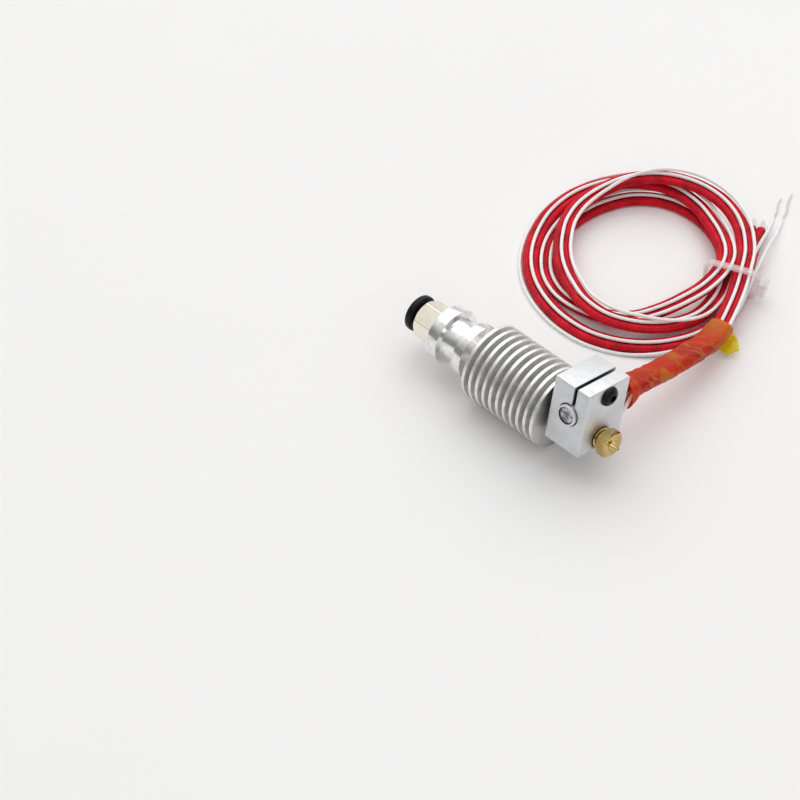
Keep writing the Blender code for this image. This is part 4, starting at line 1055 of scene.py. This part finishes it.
def tape_surface():
    """Rings of points round the bundle: flared at the block, creased, with a lapped spiral edge."""
    run_out = bundle_line()[0]
    coarse = [run_out[0].lerp(run_out[1], 0.12)] + run_out[1:-2] + [run_out[-2].lerp(run_out[-1], 0.4)]
    line = flowing(coarse, TAPE_RINGS_PER_STEP)
    rings = []
    for i, centre in enumerate(line):
        step = i / TAPE_RINGS_PER_STEP
        flare = 1 - smooth_step(step / 2)
        right = sideways_at(line, i)
        ahead = travel_at(line, i).normalized()
        up = right.cross(ahead).normalized()
        raised = smooth_step(i / (len(line) - 1)) - 0.5 - 0.8 * flare
        middle = centre + (right * 0.7 + up * raised) * MM
        ring = []
        for k in range(TAPE_SIDES):
            a = 2 * math.pi * k / TAPE_SIDES
            spoke = right * (3.9 + 0.9 * flare) * math.cos(a) + up * (2.6 + 1.9 * flare) * math.sin(a)
            point = middle + spoke * MM
            crease = abs(noise.noise(point * 330.0)) * 0.42 + noise.noise(point * 900.0) * 0.08
            lap = (k / TAPE_SIDES + step * 0.24) % 1.0
            waist = 0.22 * math.cos(a * 2) ** 2 * (1 - flare)
            inward = 0.30 - crease + waist - 0.14 * lap
            ring.append(point - spoke.normalized() * inward * MM)
        rings.append(ring)
    return rings


def thicken(piece, thickness):
    film = piece.modifiers.new("film", "SOLIDIFY")
    film.thickness = thickness
    film.offset = 0.0


def make_tape():
    shape = bmesh.new()
    rings = tape_surface()
    skin_rings(shape, rings, [i / len(rings) for i in range(len(rings))])
    mesh = finished_mesh("tape_sleeve", shape)
    piece = new_piece("tape_sleeve", mesh, "amber_tape", TABLE, replaces="tape_wrap")
    thicken(piece, TAPE_FILM)


def make_flag():
    """Folded yellow tab of the inner tape: a creased sheet that droops towards the table."""
    low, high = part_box("tape_flag")
    centre = (low + high) / 2
    reach = Vector((high.x - low.x, high.y - low.y, 0.0)) / 2
    across, deep = 14, 10
    shape = bmesh.new()
    grid = []
    for i in range(across + 1):
        u = i / across * 2 - 1
        row = []
        for j in range(deep + 1):
            v = j / deep * 2 - 1
            narrow = 1 - 0.45 * max(u, 0.0)
            x = reach.x * 0.95 * (u * 0.8 + v * 0.25)
            y = reach.y * 0.95 * (v * 0.75 * narrow - u * 0.30)
            crease = 0.35 * math.sin(u * 3.0 + v) + 0.25 * noise.noise(Vector((u * 1.7, v * 1.9, 3.0)))
            lift = (high.z - low.z) * (0.30 * v - 0.28 * u) + crease * MM
            row.append(shape.verts.new(centre + Vector((x, y, 0.0)) + Vector((0, 0, lift))))
        grid.append(row)
    for near, far in zip(grid, grid[1:]):
        for j in range(deep):
            shape.faces.new((near[j], near[j + 1], far[j + 1], far[j]))
    lowest = min(vertex.co.z for vertex in shape.verts)
    for vertex in shape.verts:
        vertex.co.z += max(0.12 * MM - lowest, 0.0)
    mesh = finished_mesh("yellow_tab", shape)
    piece = new_piece("yellow_tab", mesh, "yellow_tape", replaces="tape_flag")
    thicken(piece, FLAG_FILM)


# ---- cable tie

def rounded_rectangle(low, high, radius, steps=9):
    corners = [((high[0] - radius, high[1] - radius), 0), ((low[0] + radius, high[1] - radius), 90),
               ((low[0] + radius, low[1] + radius), 180), ((high[0] - radius, low[1] + radius), 270)]
    points = []
    for (x, y), start in corners:
        for step in range(steps + 1):
            a = math.radians(start + 90 * step / steps)
            points.append((x + radius * math.cos(a), y + radius * math.sin(a)))
    return points


def tie_inner_corners():
    inner_low = (coil_lane(2 + TIE_TURN)[0] - LEAD_SPACING / 2 - HEATER_LEAD_RADIUS - 0.9 * MM,
                 TIE_LIFT - 0.35 * MM)
    shoulder = against_lead_b(OUTER_SHOULDER)
    inner_high = (coil_lane(COIL_TURNS)[0] + shoulder[0] + THERMISTOR_LEAD_RADIUS + 0.9 * MM,
                  LOWER_LAYER + LAYER_RISE + TIE_LIFT + shoulder[1] + THERMISTOR_LEAD_RADIUS + 0.5 * MM)
    return inner_low, inner_high


def make_tie():
    """Translucent band with softened edges, its lock head with a window and the cut end of its strap."""
    low, high = tie_inner_corners()
    wall = TIE_BAND_THICKNESS
    inner = rounded_rectangle(low, high, 1.6 * MM)
    outer = rounded_rectangle((low[0] - wall, low[1] - wall), (high[0] + wall, high[1] + wall), 2.6 * MM)
    half = TIE_BAND_WIDTH / 2
    soft = 0.25 * MM
    shape = bmesh.new()
    section = [(0.0, -half + soft), (soft / wall, -half), (1 - soft / wall, -half), (1.0, -half + soft),
               (1.0, half - soft), (1 - soft / wall, half), (soft / wall, half), (0.0, half - soft)]
    rows = []
    for (x0, y0), (x1, y1) in zip(inner, outer):
        rows.append([shape.verts.new((x0 + (x1 - x0) * t, y0 + (y1 - y0) * t, w)) for t, w in section])
    for i, near in enumerate(rows):
        far = rows[(i + 1) % len(rows)]
        for k in range(len(section)):
            after = (k + 1) % len(section)
            shape.faces.new((near[k], near[after], far[after], far[k]))
    place = TABLE @ Matrix.Translation(COIL_CENTRE) @ Matrix.Rotation(TIE_HEADING, 4, "Z") @ ACROSS
    band = finished_mesh("tie_band", shape)
    new_piece("tie_band", band, "clear_nylon", place, replaces="cable_tie")
    middle = (high[0] + 2.3 * MM, 5.0 * MM, 0.0)
    head = box_mesh("tie_head", (2.3 * MM, 4.4 * MM, 4.6 * MM), middle, soft=0.5 * MM)
    window = box_mesh("window", (1.1 * MM, 6.0 * MM, 2.9 * MM), (middle[0], middle[1] - 1.2 * MM, 0.0))
    head = carved("tie_head", head, [("DIFFERENCE", window, None)])
    new_piece("tie_head", head, "clear_nylon", place)
    stub = box_mesh("tie_stub", (0.9 * MM, 5.2 * MM, 2.3 * MM), (middle[0], middle[1] - 0.8 * MM, 0.0),
                    soft=0.2 * MM)
    new_piece("tie_stub", stub, "clear_nylon", place)


# ---- table, light and camera

def make_floor():
    shape = bmesh.new()
    bmesh.ops.create_grid(shape, x_segments=8, y_segments=8, size=1.6)
    floor = new_object("floor", finished_mesh("floor", shape))
    floor.data.materials.append(new_look("floor_paper", floor_paper))


def make_light(name, location, aim, size, power, colour=(1, 1, 1)):
    lamp = bpy.data.lights.new(name, "AREA")
    lamp.shape = "RECTANGLE"
    lamp.size = size[0]
    lamp.size_y = size[1]
    lamp.energy = power
    lamp.color = colour
    light = new_object(name, lamp)
    light.location = location
    light.rotation_euler = (Vector(aim) - Vector(location)).to_track_quat("-Z", "Y").to_euler()


def make_sky():
    """Studio surround: bright above and behind the object, dark low down on the camera's side."""
    world = bpy.data.worlds.new("studio")
    bpy.context.scene.world = world
    world.use_nodes = True
    tree = world.node_tree
    way = add(tree, "TexCoord").outputs["Generated"]
    overhead = between(tree, split(tree, way)[2], 0.24, 0.66, 0.34, 0.74)
    towards = add(tree, "VectorMath", {0: way, 1: (-0.70, 0.70, 0.12)}, operation="DOT_PRODUCT")
    behind = between(tree, towards.outputs["Value"], 0.0, 0.45, -0.06, 0.55)
    background = tree.nodes["Background"].inputs
    feed(tree, background["Strength"], calc(tree, "ADD", overhead, behind))
    feed(tree, background["Color"], (1.0, 0.995, 0.99, 1.0))


def make_camera():
    camera_data = bpy.data.cameras.new("camera")
    camera_data.lens = 135.0
    camera_data.sensor_width = 36.0
    camera_data.clip_start = 0.01
    camera = new_object("camera", camera_data)
    forward = Vector(CAMERA_FORWARD).normalized()
    right = Vector(CAMERA_RIGHT).normalized()
    up = right.cross(forward).normalized()
    right = forward.cross(up)
    turned = Matrix((right, up, -forward)).transposed().to_4x4()
    camera.matrix_world = TABLE @ Matrix.Translation(CAMERA_PLACE) @ turned
    bpy.context.scene.camera = camera


# ---- everything

def finish_kept_nodes():
    """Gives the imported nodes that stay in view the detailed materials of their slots."""
    slots = {part["node"]: part["material_slot"] for part in frame["record"]["subparts"]}
    for name, node in frame["nodes"].items():
        node.data.materials.clear()
        node.data.materials.append(LOOKS[slots[name]])


finish_kept_nodes()
make_sink()
make_coupling()
make_collet()
make_nozzle()
make_block()
make_cartridge()
make_fasteners()
make_leads()
make_tape()
make_flag()
make_tie()
make_floor()
make_sky()
make_light("overhead", (-0.25, 0.30, 0.75), (0.0, 0.0, 0.0), (1.2, 1.2), 3.0)
make_light("front", (0.55, -0.55, 0.50), (0.0, 0.0, 0.0), (0.5, 0.35), 0.6)
make_camera()
bpy.context.scene.view_settings.view_transform = "Standard"
